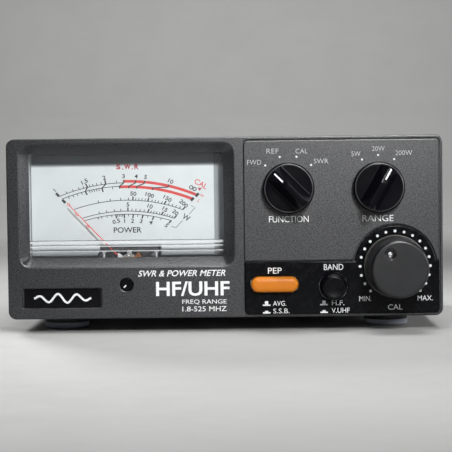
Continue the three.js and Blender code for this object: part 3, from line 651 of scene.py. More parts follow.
def bezel():
    """The moulded front: the window's sloped recess, the badge's pocket and the grooved control area."""
    shape = Shape()
    half_w, half_h = (_high.x - _low.x) / 2 / MM, (_high.z - _low.z) / 2 / MM
    deep = (_high.y - _low.y) / MM
    outer = rings_of(
        rounded(-half_w, half_w, -half_h, half_h, 2.8, 10),
        round_edge(0.4, 0, 5, 0.05) + [(0, deep - 0.25), (0.2, deep), (2.2, deep), (2.2, WALL)],
    )
    foot = rounded(*RECESS_IN, 0.7, 10)[::-1]
    slope = hole(rounded(*RECESS_OUT, 3.2, 10), round_edge(1.0, 0, 6)[:5])
    slope.append([(x, WALL - 0.25, z) for x, z in offset(foot, 0.12)])
    slope.append([(x, WALL, z) for x, z in foot])
    left, right, bottom, top = AREA
    half = GROOVE / 2
    area = rounded(left - half, right + half, bottom - half, top + half, 1.8, 6)
    badge = rounded(BADGE[0] - 0.9, BADGE[3] + 0.3, BADGE[2] - 0.3, BADGE[5] + 0.3, 0.5, 4)
    shape.plate(
        outer,
        [
            slope,
            hole(circle(ZERO_X, ZERO_Z, 2.4, 40), [*round_edge(0.3, 0, 3), (0, WALL)]),
            hole(area, [(0, 0), (0, WALL)]),
            ("blind", hole(badge, [*round_edge(0.2, 0, 3), (0, 0.9)])),
        ],
        slot_after=4,
    )
    bushes = [circle(x, KNOB_Z, 4.9, 40) for x in (FUNCTION_X, RANGE_X)]
    field_back = FIELD + 0.05
    shape.plate(
        rings_of(grey_field(0.35), [*round_edge(0.3, 0, 3), (0, field_back)]),
        [hole(bush, [(0, 0), (0, field_back)]) for bush in bushes],
    )
    openings = [
        *bushes,
        circle(CAL_X, CAL_Z, 5, 32),
        pill(PEP_X, PEP_Z, 18.0, 6.7),
        circle(BAND_X, BAND_Z, 5.6, 40),
    ]
    behind = [(0, FIELD), (0, WALL)]
    shape.plate(rings_of(offset(area, -0.2), behind), [hole(opening, behind) for opening in openings])
    return piece("bezel", shape, [BEZEL, BLACK_AND_SHADE], replaces=("front_bezel",))


def black_panel():
    shape = Shape()
    _, y0, _, _, y1, _ = local_box("control_panel")
    rim = [*round_edge(0.25, y0, 3), (0, y1)]
    openings = [
        hole(pill(PEP_X, PEP_Z, 17.7, 6.3, 20), rim),
        hole(circle(BAND_X, BAND_Z, 5.2, 56), rim),
        hole(circle(CAL_X, CAL_Z, 4.6, 32), [(0, y0), (0, y1)]),
    ]
    shape.plate(rings_of(arch_panel(0), [*round_edge(0.45, y0, 4), (0, y1)]), openings)
    return piece("control_insert", shape, PANEL, replaces=("control_panel",))


def badge():
    """A glossy plate with a plain wave line of three turns that swells in the middle."""
    x0, y0, z0, x1, y1, z1 = BADGE
    shape = Shape()
    shape.plate(rings_of(rounded(x0, x1, z0, z1, 0.4, 4), [*round_edge(0.2, y0, 3), (0, y1)]))
    piece("badge", shape, KNOB, replaces=("badge_plate",))
    margin, steps = 3.5, 72
    mid, reach = (z0 + z1) / 2, (z1 - z0) / 2 - 1.7
    run = x1 - x0 - 2 * margin
    wave = []
    for i in range(steps + 1):
        swell = math.sin(math.pi * i / steps) ** 0.5
        wave.append((x0 + margin + run * i / steps, mid + reach * math.sin(6 * math.pi * i / steps) * swell))
    mark = Shape()
    strip(mark, wave, 0.75, y0 - INK_LIFT)
    flat("badge_wave", mark, WHITE_INK)


def legends():
    """The printing on the grey field and the bezel, and then on the black panel."""
    white, grey, low = Shape(), Shape(), Shape()
    y = -INK_LIFT
    selectors = (
        ("FWD", 10.75, 23.0, 1.7, 5.0),
        ("REF", 17.3, 26.9, 1.7, 4.3),
        ("CAL", 27.6, 26.8, 1.7, 4.3),
        ("SWR", 34.5, 23.2, 1.7, 5.1),
        ("5W", 46.85, 25.6, 1.7, 3.2),
        ("20W", 54.8, 27.4, 1.7, 4.5),
        ("200W", 63.8, 25.8, 1.7, 6.0),
    )
    legend(grey, y, selectors, bold=-0.008)
    legend(white, y, (("FUNCTION", 22.85, 2.7, 2.25, 14.1), ("RANGE", 54.5, 2.7, 2.25, 11.0)), bold=-0.004)
    dots(white, [around(FUNCTION_X, KNOB_Z, 11.5, a) for a in (-45, -15, 15, 45)], 0.36, y)
    dots(white, [around(RANGE_X, KNOB_Z, 11.4, a) for a in (-30, 0, 30)], 0.36, y)
    legend(white, y, [("SWR & POWER METER", -15.2, -16.15, 2.2, 31.2)], bold=0.012, lean=0.28)
    legend(white, y, [("HF/UHF", -11.6, -21.7, 5.2, 26.2)], bold=0.02)
    bands = ("FREQ RANGE", -7.5, -26.5, 1.8, 15.8), ("1.8-525 MHZ", -7.5, -28.95, 1.8, 15.8)
    legend(white, y, bands, bold=0.004)
    flat("front_legends", white, WHITE_INK)
    flat("selector_legends", grey, DIM_INK)

    y = local_box("control_panel")[1] - INK_LIFT
    controls = (
        ("PEP", 17.7, -15.6, 2.1, 4.9),
        ("BAND", 38.6, -14.5, 2.1, 6.9),
        ("AVG.", 19.3, -27.3, 1.75, 4.7),
        ("S.S.B.", 19.9, -30.0, 1.75, 5.8),
        ("H.F.", 40.1, -27.3, 1.75, 4.4),
        ("V.UHF", 41.0, -30.0, 1.75, 6.4),
        ("MIN.", 49.8, -25.9, 1.8, 4.3),
        ("MAX.", 71.1, -25.9, 1.8, 5.4),
        ("CAL", 60.4, -29.0, 1.9, 5.2),
    )
    legend(low, y, controls)
    for x in (14.65, 35.1):  # a button's sign, out and pressed
        for z, stem in ((-27.9, 1.45), (-30.65, 0.75)):
            block(low, x - 1.35, x + 1.35, z - 0.25, z + 0.25, y, 0.05, 1)
            block(low, x - 0.6, x + 0.6, z + 0.2, z + stem, y, 0.2, 2)
    dots(low, [around(CAL_X, CAL_Z, 12.47, -135 + 15 * i) for i in range(19)], 0.5, y)
    flat("panel_legends", low, WHITE_INK)


# ---- knobs and buttons

KNOB_R = 9.15  # the bar knobs' skirt
KNOB_DISC = 8.1  # the radius of the disc that carries the bar
KNOB_FACE = -4.6  # y of the disc
KNOB_TOP = -12.0  # y of the bar's crest
CAL_BACK = -0.35  # y of the calibration knob's back
CAL_REST = -32.5  # degrees from straight up, as the photo shows it
DIMPLE = 6.3  # how far from the middle its dimple is


def blend(a, b, soft):
    """The lower of two heights, eased where they cross."""
    return (a + b - math.sqrt((a - b) ** 2 + soft**2)) / 2


def grip_height(x, z):
    """The y of the bar knob's surface at x, z, with the pointer towards +z.
    Its flanks end in a fillet on the disc and in an eased edge on the crest."""
    base, top = 3.35, 1.05  # half the bar's width at its foot and at its crest
    step = 1.6  # where the crest drops, and starts to slope down to the pointer's tip
    crest = -KNOB_TOP if z < step else -KNOB_TOP - 0.9 - 0.28 * (z - step)
    flank = -KNOB_FACE + (crest + KNOB_FACE) * (base - abs(x)) / (base - top)
    ridge = blend(flank, crest, 0.16)
    return blend(-ridge, KNOB_FACE, 0.3)


def bar_knob(name, x, degrees, body, node):
    """A disc with a bar across it, in a grey ring on a turned skirt; the ring's pale grey is partly a
    painted highlight.
    Columns of points, close together where the bar's flanks bend, follow grip_height from one edge of the
    disc to the other."""
    columns = [8.08, 7.8, 7.2, 6.4, 5.2, 4.4, 3.9, 3.65, 3.5, 3.4, 3.3, 3.2, 3.05, 2.7, 2.2, 1.7]
    columns += [1.3, 1.15, 1.08, 1.0, 0.9, 0.5, 0]
    columns = [-c for c in columns] + columns[-2::-1]
    edge = (0, 0.03, 0.14, 0.4)  # how far in from the disc's edge a column's outer points stand
    ease = (0, 0.93, 0.985)  # how much of their height the outermost have
    shape = Shape()
    rows = []
    for cx in columns:
        reach = math.sqrt(KNOB_DISC**2 - cx**2)
        outer = [-reach + min(d, reach * 0.2 * k) for k, d in enumerate(edge)]
        tail = [-reach * 0.8 + (reach + 1.2) * 0.5 * (i / 4) for i in range(5)]
        tail = [cz for cz in tail if outer[-1] + 0.05 < cz < 1.3] if reach > 2.6 else []
        while len(tail) < 5:
            tail.insert(0, outer[-1] + 0.01 * (len(tail) + 1))
        tip = [1.5, 1.75, 3.4, 5.2, 6.8]
        if reach <= 7.2:
            tip = [reach * f for f in (0.2, 0.24, 0.45, 0.65, 0.82)]
        row = []
        path = sorted([*outer, *tail, *tip, *(-cz for cz in outer)])
        for k, cz in enumerate(path):
            rank = min(k, len(path) - 1 - k)
            share = ease[rank] if rank < len(ease) else 1
            row.append((cx, KNOB_FACE + (grip_height(cx, cz) - KNOB_FACE) * share, cz))
        rows.append(row)
    shape.net(rows)
    step = from_y(KNOB_FACE, (8.0, 0.3), (8.1, 0.1), (8.16, 0.3), (8.24, 0.1))
    ring = [step[-1], *from_y(KNOB_FACE, (8.28, 0.04), (8.46, 0.08), (8.6, 0.22))]
    shape.lathe(step, steps=96)
    # slot 1: the grey ring, its pale colour partly a painted highlight
    shape.lathe(ring, steps=96, slot=1)
    skirt = [ring[-1], (8.85, -4.1), (9.05, -3.7), (KNOB_R, -3.2), (KNOB_R, -1.0), (9.05, -0.75)]
    skirt += [(8.7, -0.45), (4.0, -0.45), (4.0, -2), (8.0, -2), step[0]]
    shape.lathe(skirt, steps=96)
    shape.turn(degrees, x, KNOB_Z)
    piece(name, shape, [KNOB, RING_GREY_AND_HIGHLIGHT], body, (node,), crease=42)
    line = Shape()
    near, far, half = 3.2, 7.3, 0.27
    line.net([[(a, grip_height(0, cz) - 0.05, cz) for a in (-half, half)] for cz in (near, far)])
    line.turn(degrees, x, KNOB_Z)
    flat(f"{name}_line", line, WHITE_INK, body)


def cal_knob():
    """The large knob: a flange whose edge carries a painted highlight, a finely ribbed grip and a face with
    a dimple and a dot.
    """
    front, back = local_box("cal_knob")[1], CAL_BACK
    ribs = 96
    around_it = ribs * 4
    flange = from_y(back, (10.4, 0), (10.95, -0.12), (11.12, -0.4), (11.12, -1.0), (10.8, -1.35))
    grip = from_y(back, (10.7, -1.45), (10.72, -1.9)) + from_y(front, (10.05, 1.3), (9.98, 0.95))
    crown = from_y(front, (9.93, 0.8), (9.78, 0.35), (9.55, 0.1), (9.2, 0))

    def ripple(angle, k):
        return 0.13 * math.cos(ribs * angle) if 1 < k < 4 else 0

    shape = Shape()
    shape.lathe([(4, back + 0.02), *flange[:4]], steps=around_it)
    # slot 1: the flange's edge, a painted highlight
    shape.lathe(flange[3:], steps=around_it, slot=1)
    shape.lathe([flange[4], *grip, *crown], steps=around_it, ripple=ripple)
    bowl = ((0.1, 0), (0, 0), (-0.12, 0.03), (-0.2, 0.12), (-0.4, 0.45), (-0.8, 0.75), (-1.3, 0.9))
    dimple = hole(circle(0, DIMPLE, 2.15, 32), from_y(front, *bowl))
    face = [[(a, front, b) for a, b in circle(0, 0, r, around_it)] for r in (9.2, 9.05)]
    shape.skin(face)
    shape.cap([face[1], dimple[0]])
    shape.skin(dimple)
    shape.cap([dimple[-1]])
    shape.turn(CAL_REST, CAL_X, CAL_Z)
    looks = [CAL_BLACK, RIM_HIGHLIGHT]
    piece("cal_knob_turned", shape, looks, "cal_control", ("cal_knob",), crease=50)
    bead = from_y(front, (0, 0.55), (0.4, 0.6), (0.66, 0.86), (0.66, 0.95))
    dot = Shape().lathe(bead, 0, DIMPLE, 24)
    dot.turn(CAL_REST, CAL_X, CAL_Z)
    flat("cal_knob_dot", dot, WHITE_INK, "cal_control")


def buttons():
    """The orange pill-shaped cap and the round black one, with a shallow dish in its face."""
    x0, y0, z0, x1, y1, z1 = local_box("pep_button")
    crown = from_y(y0, (1.6, 0.0), (1.1, 0.06), (0.7, 0.2), (0.35, 0.48), (0.12, 0.85), (0, 1.3))
    shape = Shape().plate(rings_of(pill(PEP_X, PEP_Z, x1 - x0, z1 - z0, 20), [*crown, (0, y1)]))
    piece("pep_cap", shape, ORANGE, "pep_push", ("pep_button",), crease=50)
    x0, y0, _, x1, y1, _ = local_box("band_button")
    r = (x1 - x0) / 2
    face = from_y(y0, (0, 0.3), (2.2, 0.22), (3.2, 0.05), (3.55, 0), (3.85, 0.08), (4.12, 0.35), (4.25, 0.8))
    shape = Shape().lathe([*face, (r - 0.1, -0.6), (r, -0.2), (r, y1), (0, y1)], BAND_X, BAND_Z, 72)
    piece("band_cap", shape, BUTTON, "band_push", ("band_button",), crease=50)


# ---- dial and meter

VIEW = Vector((5.5, -490, 20.4))  # the camera, and the eye that the dial's print is worked out for
PIVOT_X, PIVOT_Z = middle("core_magnet")
PRINT_X, PRINT_Z = PIVOT_X - 0.6, PIVOT_Z - 0.25  # the printed scales sit a little off the pivot
DIAL_Y = local_box("dial_plate")[1]
DIAL_K = (DIAL_Y - VIEW.y) / -VIEW.y  # how much larger print must be to show a size at the front
UNDER, OVER = DIAL_Y - 0.03, DIAL_Y - 0.05  # y of the scales' lines and of what is printed over them
SCALE_DROP = 33.8 * DIAL_K  # how far below the pivot the scale arcs have their centre
ZERO_DEG, FULL_DEG = -43.4, 44.8
SIDE_SHADE_X = -3.9  # where the window's right wall starts to darken the card
RIBS = ((-4.35, 1.2), (-6.0, 0.8), (-7.85, 0.65))  # top edge and height of each rib of the window


def scale_point(r, degrees, lift=0.0):
    """Where the ray at this pointer angle meets the scale arc of radius r, or lift beyond it."""
    a = math.radians(degrees)
    along = math.sqrt((r * DIAL_K) ** 2 - (SCALE_DROP * math.sin(a)) ** 2) - SCALE_DROP * math.cos(a)
    along += lift * DIAL_K
    return PRINT_X + along * math.sin(a), PRINT_Z + along * math.cos(a)


def on_dial(dx, dz):
    """A point of the dial's print, given at the size it shows at the front."""
    return PRINT_X + dx * DIAL_K, PRINT_Z + dz * DIAL_K


# The radius of each scale's arc, and the pointer angle of each of its marks.
H, L, W200, W20, W5 = 63.7, 62.5, 57.5, 53.6, 52.5
SWR_H = {1: -43.4, 1.5: -25.9, 2: -13.8, 3: -1.6, 4: 6.4, 5: 12.3, 10: 27.7, 99: 44.9}
SWR_L = {1: -43.4, 1.5: -28.4, 2: -17.1, 3: -4.7, 4: 1.9, 5: 7.6, 10: 18.7, 99: 44.6}
SWR_H_MINOR = (-38.6, -34.7, -31.0, -28.1, -24.2, -22.1, -19.6, -16.7, -6.4)
SWR_L_MINOR = (-39.5, -36.7, -34.0, -31.1, -25.8, -24.2, -22.6, -21.0, -19.4, -9.8)
TENS = (-23.2, -13.5, -4.8, 1.7, 5.5, 7.9, 10.5, 13.1, 15.7, 18.1)
TENS += (21.3, 23.8, 26.2, 29.1, 31.3, 34.2, 36.9, 39.6, 42.3, 44.8)
UNITS = (-26.7, -19.8, -12.2, -5.7, 1.4, 5.4, 9.4, 13.5, 17.5, 21.4)
UNITS += (24.0, 26.6, 29.2, 31.7, 34.0, 36.2, 38.4, 40.5, 42.6, 44.6)
P5 = {0.1: -30.1, 0.2: -26.8, 0.3: -21.3, 0.4: -16.3, 0.5: -11.7, 0.6: -9.8, 0.7: -8.0, 0.8: -6.2, 0.9: -4.4}
P5 |= {1: -2.6, 1.5: 2.3, 2: 7.3, 2.5: 12.3, 3: 17.7, 3.5: 23.0, 4: 28.7, 4.5: 35.9, 5: 44.3}
LINE, FINE, BOLD = 0.24, 0.26, 0.5  # stroke widths of arcs, minor and major marks


def dial_arc(shape, r, start, end, width=LINE, shift=0.0):
    steps = 60
    angles = [start + (end - start) * i / steps for i in range(steps + 1)]
    strip(shape, [scale_point(r, a, shift) for a in angles], width, UNDER)


def tick(shape, r, degrees, low, high, width):
    strip(shape, [scale_point(r, degrees, low), scale_point(r, degrees, high)], width, OVER)


def figure(shape, text, r, degrees, lift):
    """A number beside its mark, turned with the scale."""
    x, z = scale_point(r, degrees, lift)
    words(shape, text, x, z, 1.5 * DIAL_K, OVER, degrees=degrees, bold=0.02, broad=1.15)


def dial_words(shape, text, dx, dz, height, width=None, **look):
    words(shape, text, *on_dial(dx, dz), height, OVER, width, **look)


def swr_scales(ink, red):
    """The high-power and low-power scales, joined mark by mark, each with a red band from 3 up."""
    for r, marks, shift in ((H, SWR_H, 0.52), (L, SWR_L, -0.22)):
        dial_arc(ink, r, ZERO_DEG, marks[3])
        dial_arc(red, r, marks[3], marks[99], DIAL_K, shift)
    for r, degrees, low, high, width in (
        (H, ZERO_DEG, 0.1, 1.7, 0.9),
        (L, ZERO_DEG, -1.9, -0.3, 0.9),
        (H, ZERO_DEG + 0.6, 2.2, 3.6, 0.3),
        (H, SWR_H[99], -0.2, 1.4, 0.95),
        (L, SWR_L[99], -1.1, 0.4, 0.95),
    ):
        tick(ink, r, degrees, low, high, width)
    for value in (1.5, 2, 3, 4, 5, 10):
        a, b = SWR_H[value], SWR_L[value]
        tick(ink, H, a, 0, 1.45 if value < 3 else 1.0, BOLD)
        tick(ink, L, b, -1.45 if value < 3 else -0.8, 0, BOLD)
        strip(ink, [scale_point(H, a), scale_point(L, b)], 0.38, OVER)
        figure(ink, f"{value:g}", H, a, 2.35)
    for a in SWR_H_MINOR:
        tick(ink, H, a, 0, 0.9, FINE)
    for a in SWR_L_MINOR:
        tick(ink, L, a, -0.9, 0, FINE)


def power_scales(ink):
    """The 200 W and 20 W scales, marked upwards, and the 5 W scale, marked downwards."""
    for r in (W200, W20, W5):
        dial_arc(ink, r, ZERO_DEG + 1.3, FULL_DEG)
    for step, angles, r in ((10, TENS, W200), (1, UNITS, W20)):
        for count, a in enumerate(angles, 1):
            main = count % 5 == 0
            tick(ink, r, a, 0, 1.35 if main else 0.9, BOLD if main else FINE)
            if main:
                figure(ink, str(count * step), r, a - (2.4 if a == angles[-1] else 0), 2.35)
    for value, a in P5.items():
        main = value in (0.5, 1, 2, 3, 4, 5)
        tick(ink, W5, a, -1.35 if main else -0.8, 0, BOLD if main else FINE)
        if main:
            figure(ink, f"{value:g}", W5, a - (1.2 if value == 0.5 else 0), -2.35)


def dial_print():
    ink, red = Shape(), Shape()
    swr_scales(ink, red)
    power_scales(ink)
    dial_words(ink, "POWER", 0.3, 13.1, 2.05, 10.2, bold=0.015)
    dial_words(ink, "W", 21.2, 17.3, 2.1, 2.7, degrees=32, bold=0.015)
    for bracket in (((23.0, 21.5), (24.4, 20.8), (22.3, 18.5)), ((19.8, 16.2), (17.6, 13.8), (15.9, 14.1))):
        strip(ink, [on_dial(*p) for p in bracket], 0.2, OVER)
    for dx, dz in ((23.1, 28.0), (24.3, 27.4)):  # the two rings of the infinity sign
        ring = circle(*on_dial(dx, dz), 0.6, 20)
        strip(ink, [*ring, ring[0], ring[1]], 0.34, OVER)
    flat("dial_print_black", ink, BLACK_INK)

    for text, dx, width in (("S", -2.7, 1.6), ("W", 0.5, 2.3), ("R", 3.75, 1.6)):
        dial_words(red, text, dx, 35.6, 1.9, width, bold=0.035, slot=1)
    dots(red, [on_dial(dx, 34.8) for dx in (-1.15, 2.25)], 0.24, OVER, 1)
    dial_words(red, "CAL", 26.6, 29.2, 1.95, 5.0, degrees=30, bold=0.01)
    x, z = on_dial(26.2, 27.4)
    arrow = ((-0.75, 0.5), (0.7, 0.35), (-0.25, -0.75))
    red.add([(x + a, OVER, z + b) for a, b in arrow], [(0, 1, 2)], 1)
    for text, dx, dz in (("H", 26.9, 25.1), ("L", 25.8, 23.2)):
        dial_words(red, text, dx, dz, 1.2, degrees=40)
    for dx, dz in ((-20.6, 22.3), (-17.75, 18.9), (-14.0, 14.4)):
        dial_words(red, "0", dx, dz, 1.5, degrees=-42, bold=0.01)
    flat("dial_print_red", red, [RED_INK, RED_DARK])


def dial_shades():
    """Painted shade on the card: a strip for the bezel's shadow along its top, and one for the shade of the
    window's wall at its right.
    """
    x0, _, z0, x1, _, z1 = local_box("dial_plate")
    gap = 0.1
    top, side = Shape(), Shape()
    block(top, x0 + gap, x1 - gap, 21.6, z1 - gap, DIAL_Y - 0.015)
    block(side, SIDE_SHADE_X, x1 - gap, z0 + gap, z1 - gap, OVER)
    flat("dial_top_shade", top, SHADE)
    flat("dial_side_shade", side, SIDE_SHADE)


def lens():
    """The clear front: a shallow tray with stepped ribs along its foot. Its walls and the ribs' pale bars
    are painted highlights, and the dark bars along the ribs' top edges are painted shade lines.
    """
    x0, y0, z0, x1, y1, z1 = local_box("meter_cover")
    wall = 1.6
    shape = Shape()
    outer = rings_of(
        rounded(x0, x1, z0, z1, 1.2, 5),
        [*round_edge(0.4, y0, 3), (0, y1), (wall, y1), (wall, y0 + wall)],
    )
    shape.plate(outer, [hole(circle(ZERO_X, ZERO_Z, 1.58, 32), [(0, y0), (0, y0 + wall)])], slot_after=4)
    piece("window_lens", shape, [LENS, LENS_HIGHLIGHT], replaces=("meter_cover",))
    y = y0 + wall
    bright, dark = Shape(), Shape()
    for top, tall in RIBS:
        # each rib: a pale bar, a painted highlight, under a dark bar along its top edge, painted shade
        for bar, high, low, out in ((bright, top - 0.3, top - tall, 0.4), (dark, top, top - 0.26, 0.55)):
            section = [(y - 0.02, high), (y + out * 0.6, high), (y + out, high - 0.1), (y - 0.02, low)]
            ends = [[(x, sy, sz) for sy, sz in section] for x in (x0 + wall, x1 - wall)]
            bar.skin(ends)
            bar.cap([ends[0]])
            bar.cap([ends[1]])
    flat("window_rib_highlights", bright, LENS_HIGHLIGHT)
    flat("window_rib_shade_lines", dark, RIB_SHADE_LINE)


def needle():
    """The pointer: a thin blade on its hub, with its tail and balance weight, towards +z."""
    _, foremost, _, _, rear, _ = local_box("pointer")
    y = foremost + 0.5
    blade = from_y(y, (0, 0), (0, 0.25))
    tail = -3.4
    shape = Shape()
    shape.plate(rings_of([(-0.2, 0), (0.2, 0), (0.13, 30.8), (-0.13, 30.8)], blade))
    shape.plate(rings_of([(-0.4, tail), (0.4, tail), (0.4, 0), (-0.4, 0)], blade))
    cap = from_y(y, (0.85, -0.15), (1, 0))
    shape.lathe([(0, foremost), (0.35, foremost), (0.35, y - 0.15), *cap, (1, rear), (0, rear)], steps=32)
    weight = from_y(y, (0, -0.15), (0.85, -0.15), (1, 0), (1, 0.9), (0.85, 1.05), (0, 1.05))
    shape.lathe(weight, 0, tail, 32)
    shape.turn(ZERO_DEG, PIVOT_X, PIVOT_Z)
    piece("needle", shape, NEEDLE, "movement", ("pointer",))


def movement():
    """What shows of the movement: its bearing screw, screw heads with solder lugs, a spring clip,
    and a painted glint across the zero screw."""
    y0 = local_box("front_bridge")[1]
    bearing = from_y(y0, (0, -0.45), (0.8, -0.4), (1.0, -0.15), (1.0, 0.1))
    flat("bearing_screw", Shape().lathe(bearing, PIVOT_X, PIVOT_Z, 32), BRASS)
    for node in nodes("bridge_screw"):
        x, z = middle(node)
        y = local_box(node)[1]
        head = (0, 0.7), (0.9, 0.7), (1.5, 0.85), (1.8, 1.2), (1.8, 1.35), (0.9, 1.35), (0.9, 7), (0, 7)
        shape = Shape().lathe(from_y(y, *head), x, z, 40)
        lug = x + (0.75 if x < PIVOT_X else 1.15)
        half = [(0.34, -1.7), (0.34, 1.05), (0.85, 1.3), (0.85, 1.7)]  # the right side of a T
        outline = [(lug + a * 0.9, z + b) for a, b in half] + [(lug - a * 0.9, z + b) for a, b in half[::-1]]
        insets = from_y(y, (0.15, 0.02), (0.05, 0.1), (0, 0.2), (0, 0.75))
        shape.plate(rings_of(outline, insets), slot=1)
        piece(f"{node}_head", shape, [SCREW, TIN], replaces=(node,))
    y = y0 - 0.1
    tab = [(-38.8, -11.4), (-37.0, -11.4), (-37.0, -10.2), (-38.2, -9.1), (-38.8, -9.1)]
    clip = Shape().plate(rings_of(tab, from_y(y, (0.1, -0.3), (0, -0.2), (0, 0))))
    clip.lathe(from_y(y, (0, -0.5), (0.25, -0.42), (0.4, -0.2), (0.4, 0)), -34.9, -10.2, 20)
    flat("spring_clip", clip, TIN)
    # a painted highlight on the zero screw, on one half of its slot's line
    mark = Shape()
    strip(mark, [(0, -1.55), (0, -0.35)], 0.42, local_box("zero_screw")[1] - INK_LIFT)
    mark.turn(45, ZERO_X, ZERO_Z)
    flat("zero_screw_painted_glint", mark, WHITE_INK, "zero_set")


# ---- case, feet and back


CORNERS = ((-1, -1), (1, -1), (1, 1), (-1, 1))
SCREW_SEAT = 77.55  # how far out a cover screw's head seats, just clear of the cover's side


def feet():
    """Rubber feet, turned about z: a hollow sole and a lower band painted pale as painted light, under a
    dark cup.
    """
    for node in nodes("foot_"):
        low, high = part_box(node)
        r = (high.x - low.x) / 2 / MM
        cx, cy = (low.x + high.x) / 2, (low.y + high.y) / 2
        lit_band = [(0, 1.4), (1.5, 1.4), (1.9, 1.15), (2.1, 0.25), (2.4, 0.0), (r - 1.1, 0.0), (r - 0.5, 0.15)]
        lit_band += [(r - 0.12, 0.55), (r, 1.0), (r, 2.1), (r - 0.1, 2.25)]
        cup = [lit_band[-1], (r - 0.1, 4.0), (r - 0.3, 4.5), (r - 0.6, 4.7), (1.3, 4.7), (1.3, 7), (0, 7)]
        # slot 1, the lower band: painted light
        shape = Shape().lathe(lit_band, steps=64, slot=1).lathe(cup, steps=64)
        name = f"{node}_rubber"
        mesh = shape.mesh(name, lambda x, y, z: Vector((cx + x * MM, cy + z * MM, low.z + y * MM)))
        show(name, mesh, [RUBBER, FOOT_PAINTED_LIGHT], "case", (node,), crease=50)


def cover_screws():
    """Pan-head screws along x, with a flat dark cross in the middle as painted shade of its recess, on the
    cover's sides.
    """
    for node in nodes("cover_screw"):
        x0, y0, z0, x1, y1, z1 = local_box(node)
        side = -1 if x0 < 0 else 1
        out = max(abs(x0), abs(x1))
        cy, cz = (y0 + y1) / 2, (z0 + z1) / 2
        r = (z1 - z0) / 2
        profile = [(0, out - 0.95), (0.5, out - 0.9), (0.52, out - 0.12), (0.9, out), (1.4, out - 0.06)]
        profile += [(2.1, out - 0.45), (r, out - 1.15), (r, SCREW_SEAT), (1.4, SCREW_SEAT)]
        profile += [(1.4, SCREW_SEAT - 3.9), (0, SCREW_SEAT - 3.9)]
        shape = Shape().along_x([(reach, side * x) for reach, x in profile], cy, cz, 40)
        # flat dark cross in slot 1: painted shade of the recess
        for w, h in ((1.25, 0.28), (0.28, 1.25)):
            bar = [(side * (out - 0.02), cy + a * w, cz + b * h) for a, b in CORNERS]
            shape.add(bar, [(0, 1, 2, 3)], 1)
        piece(f"{node}_head", shape, [SCREW, BLACK_AND_SHADE], replaces=(node,), crease=50)


def thread(r, start, end, pitch, depth):
    """(radius, y) pairs of a ridged barrel that stands for its thread."""
    ridge = ((depth, 0), (depth * 0.2, 0.35), (0, 0.5), (depth * 0.2, 0.65))
    count = int((end - start) / pitch)
    return [(r - cut, start + (i + along) * pitch) for i in range(count) for cut, along in ridge]


def sockets():
    """Flanged barrels with four screws: UHF type for HF, and N type, with a narrower bore, for VHF."""
    for name in ("hf_antenna", "hf_transmitter", "vhf_antenna", "vhf_transmitter"):
        x0, y0, z0, x1, y1, z1 = local_box(f"{name}_socket")
        x, z = (x0 + x1) / 2, (z0 + z1) / 2
        seat = y0 + 1.6
        bore = 4.2 if name.startswith("vhf") else 6.3
        flange = rings_of(rounded(x0, x1, z0, z1, 1.6, 5), [(0, y0), (0, seat - 0.2), (0.2, seat)])
        corners = [(x + 9.1 * a, z + 9.1 * b) for a in (-1, 1) for b in (-1, 1)]
        through = [(0, y0), (0, seat)]
        holes = [hole(circle(cx, cz, 1.65, 20), through) for cx, cz in corners]
        shape = Shape().plate(flange, [*holes, hole(circle(x, z, bore, 48), through)])
        barrel = from_y(seat, (bore, -0.3), (7.4, -0.3), (7.4, 1.2))
        barrel += thread(7.9, seat + 1.2, y1 - 0.7, 1.06, 0.5)
        barrel += from_y(y1, (7.45, -0.5), (7.3, -0.1), (7.1, 0))
        barrel += [*from_y(y1, (bore + 0.35, 0), (bore + 0.1, -0.2), (bore, -0.5)), barrel[0]]
        shape.lathe(barrel, x, z, 72)
        piece(f"{name}_barrel", shape, NICKEL, replaces=(f"{name}_socket",), crease=40)
        screws = Shape()
        for cx, cz in corners:
            pan_head(cx, seat + 0.05, cz, 2.6, screws)
        piece(f"{name}_screws", screws, [STEEL, BLACK_AND_SHADE], weigh=False, crease=50)


def pan_head(x, y, z, r, shape):
    """A screw head that stands on a face at y and faces backwards, its cross recess a flat dark cross of
    painted shade.
    """
    head = [(r * 0.5, y - 0.3), (r, y), (r, y + r * 0.25), (r * 0.85, y + r * 0.48), (r * 0.5, y + r * 0.64)]
    shape.lathe([*head, (r * 0.36, y + r * 0.66), (r * 0.18, y + r * 0.35), (0, y + r * 0.33)], x, z, 28)
    # flat dark cross in slot 1: painted shade of the recess
    for w, h in ((0.44, 0.095), (0.095, 0.44)):
        shape.add([(x + a * w * r, y + r * 0.665, z + b * h * r) for a, b in CORNERS], [(0, 1, 2, 3)], 1)


def rear_screws():
    x0, _, z0, x1, y1, z1 = local_box("rear_panel")
    shape = Shape()
    for x in (x0 + 5, x1 - 5):
        for z in (z0 + 5, z1 - 5):
            pan_head(x, y1, z, 2.7, shape)
    piece("rear_panel_screws", shape, [SCREW, BLACK_AND_SHADE], crease=50)


def rear_print():
    """Lettering on the back, mirrored so that it reads from behind."""
    shape = Shape()
    y = local_box("rear_panel")[4] + INK_LIFT
    for text, x, z, width in (
        ("ANT", -54, 12.4, 6.0),
        ("TX", -26, 12.4, 4.0),
        ("ANT", 26, 12.4, 6.0),
        ("TX", 54, 12.4, 4.0),
        ("1.8-160 MHZ", -40, -20.5, 19.0),
        ("125-525 MHZ", 40, -20.5, 19.0),
        ("DC 11-15V", 0, 23.4, 13.0),
    ):
        start = len(shape.verts)
        words(shape, text, 0, z, 2.2, y, width, bold=0.008)
        shape.verts[start:] = [(x - a, b, c) for a, b, c in shape.verts[start:]]
    flat("rear_legends", shape, WHITE_INK)


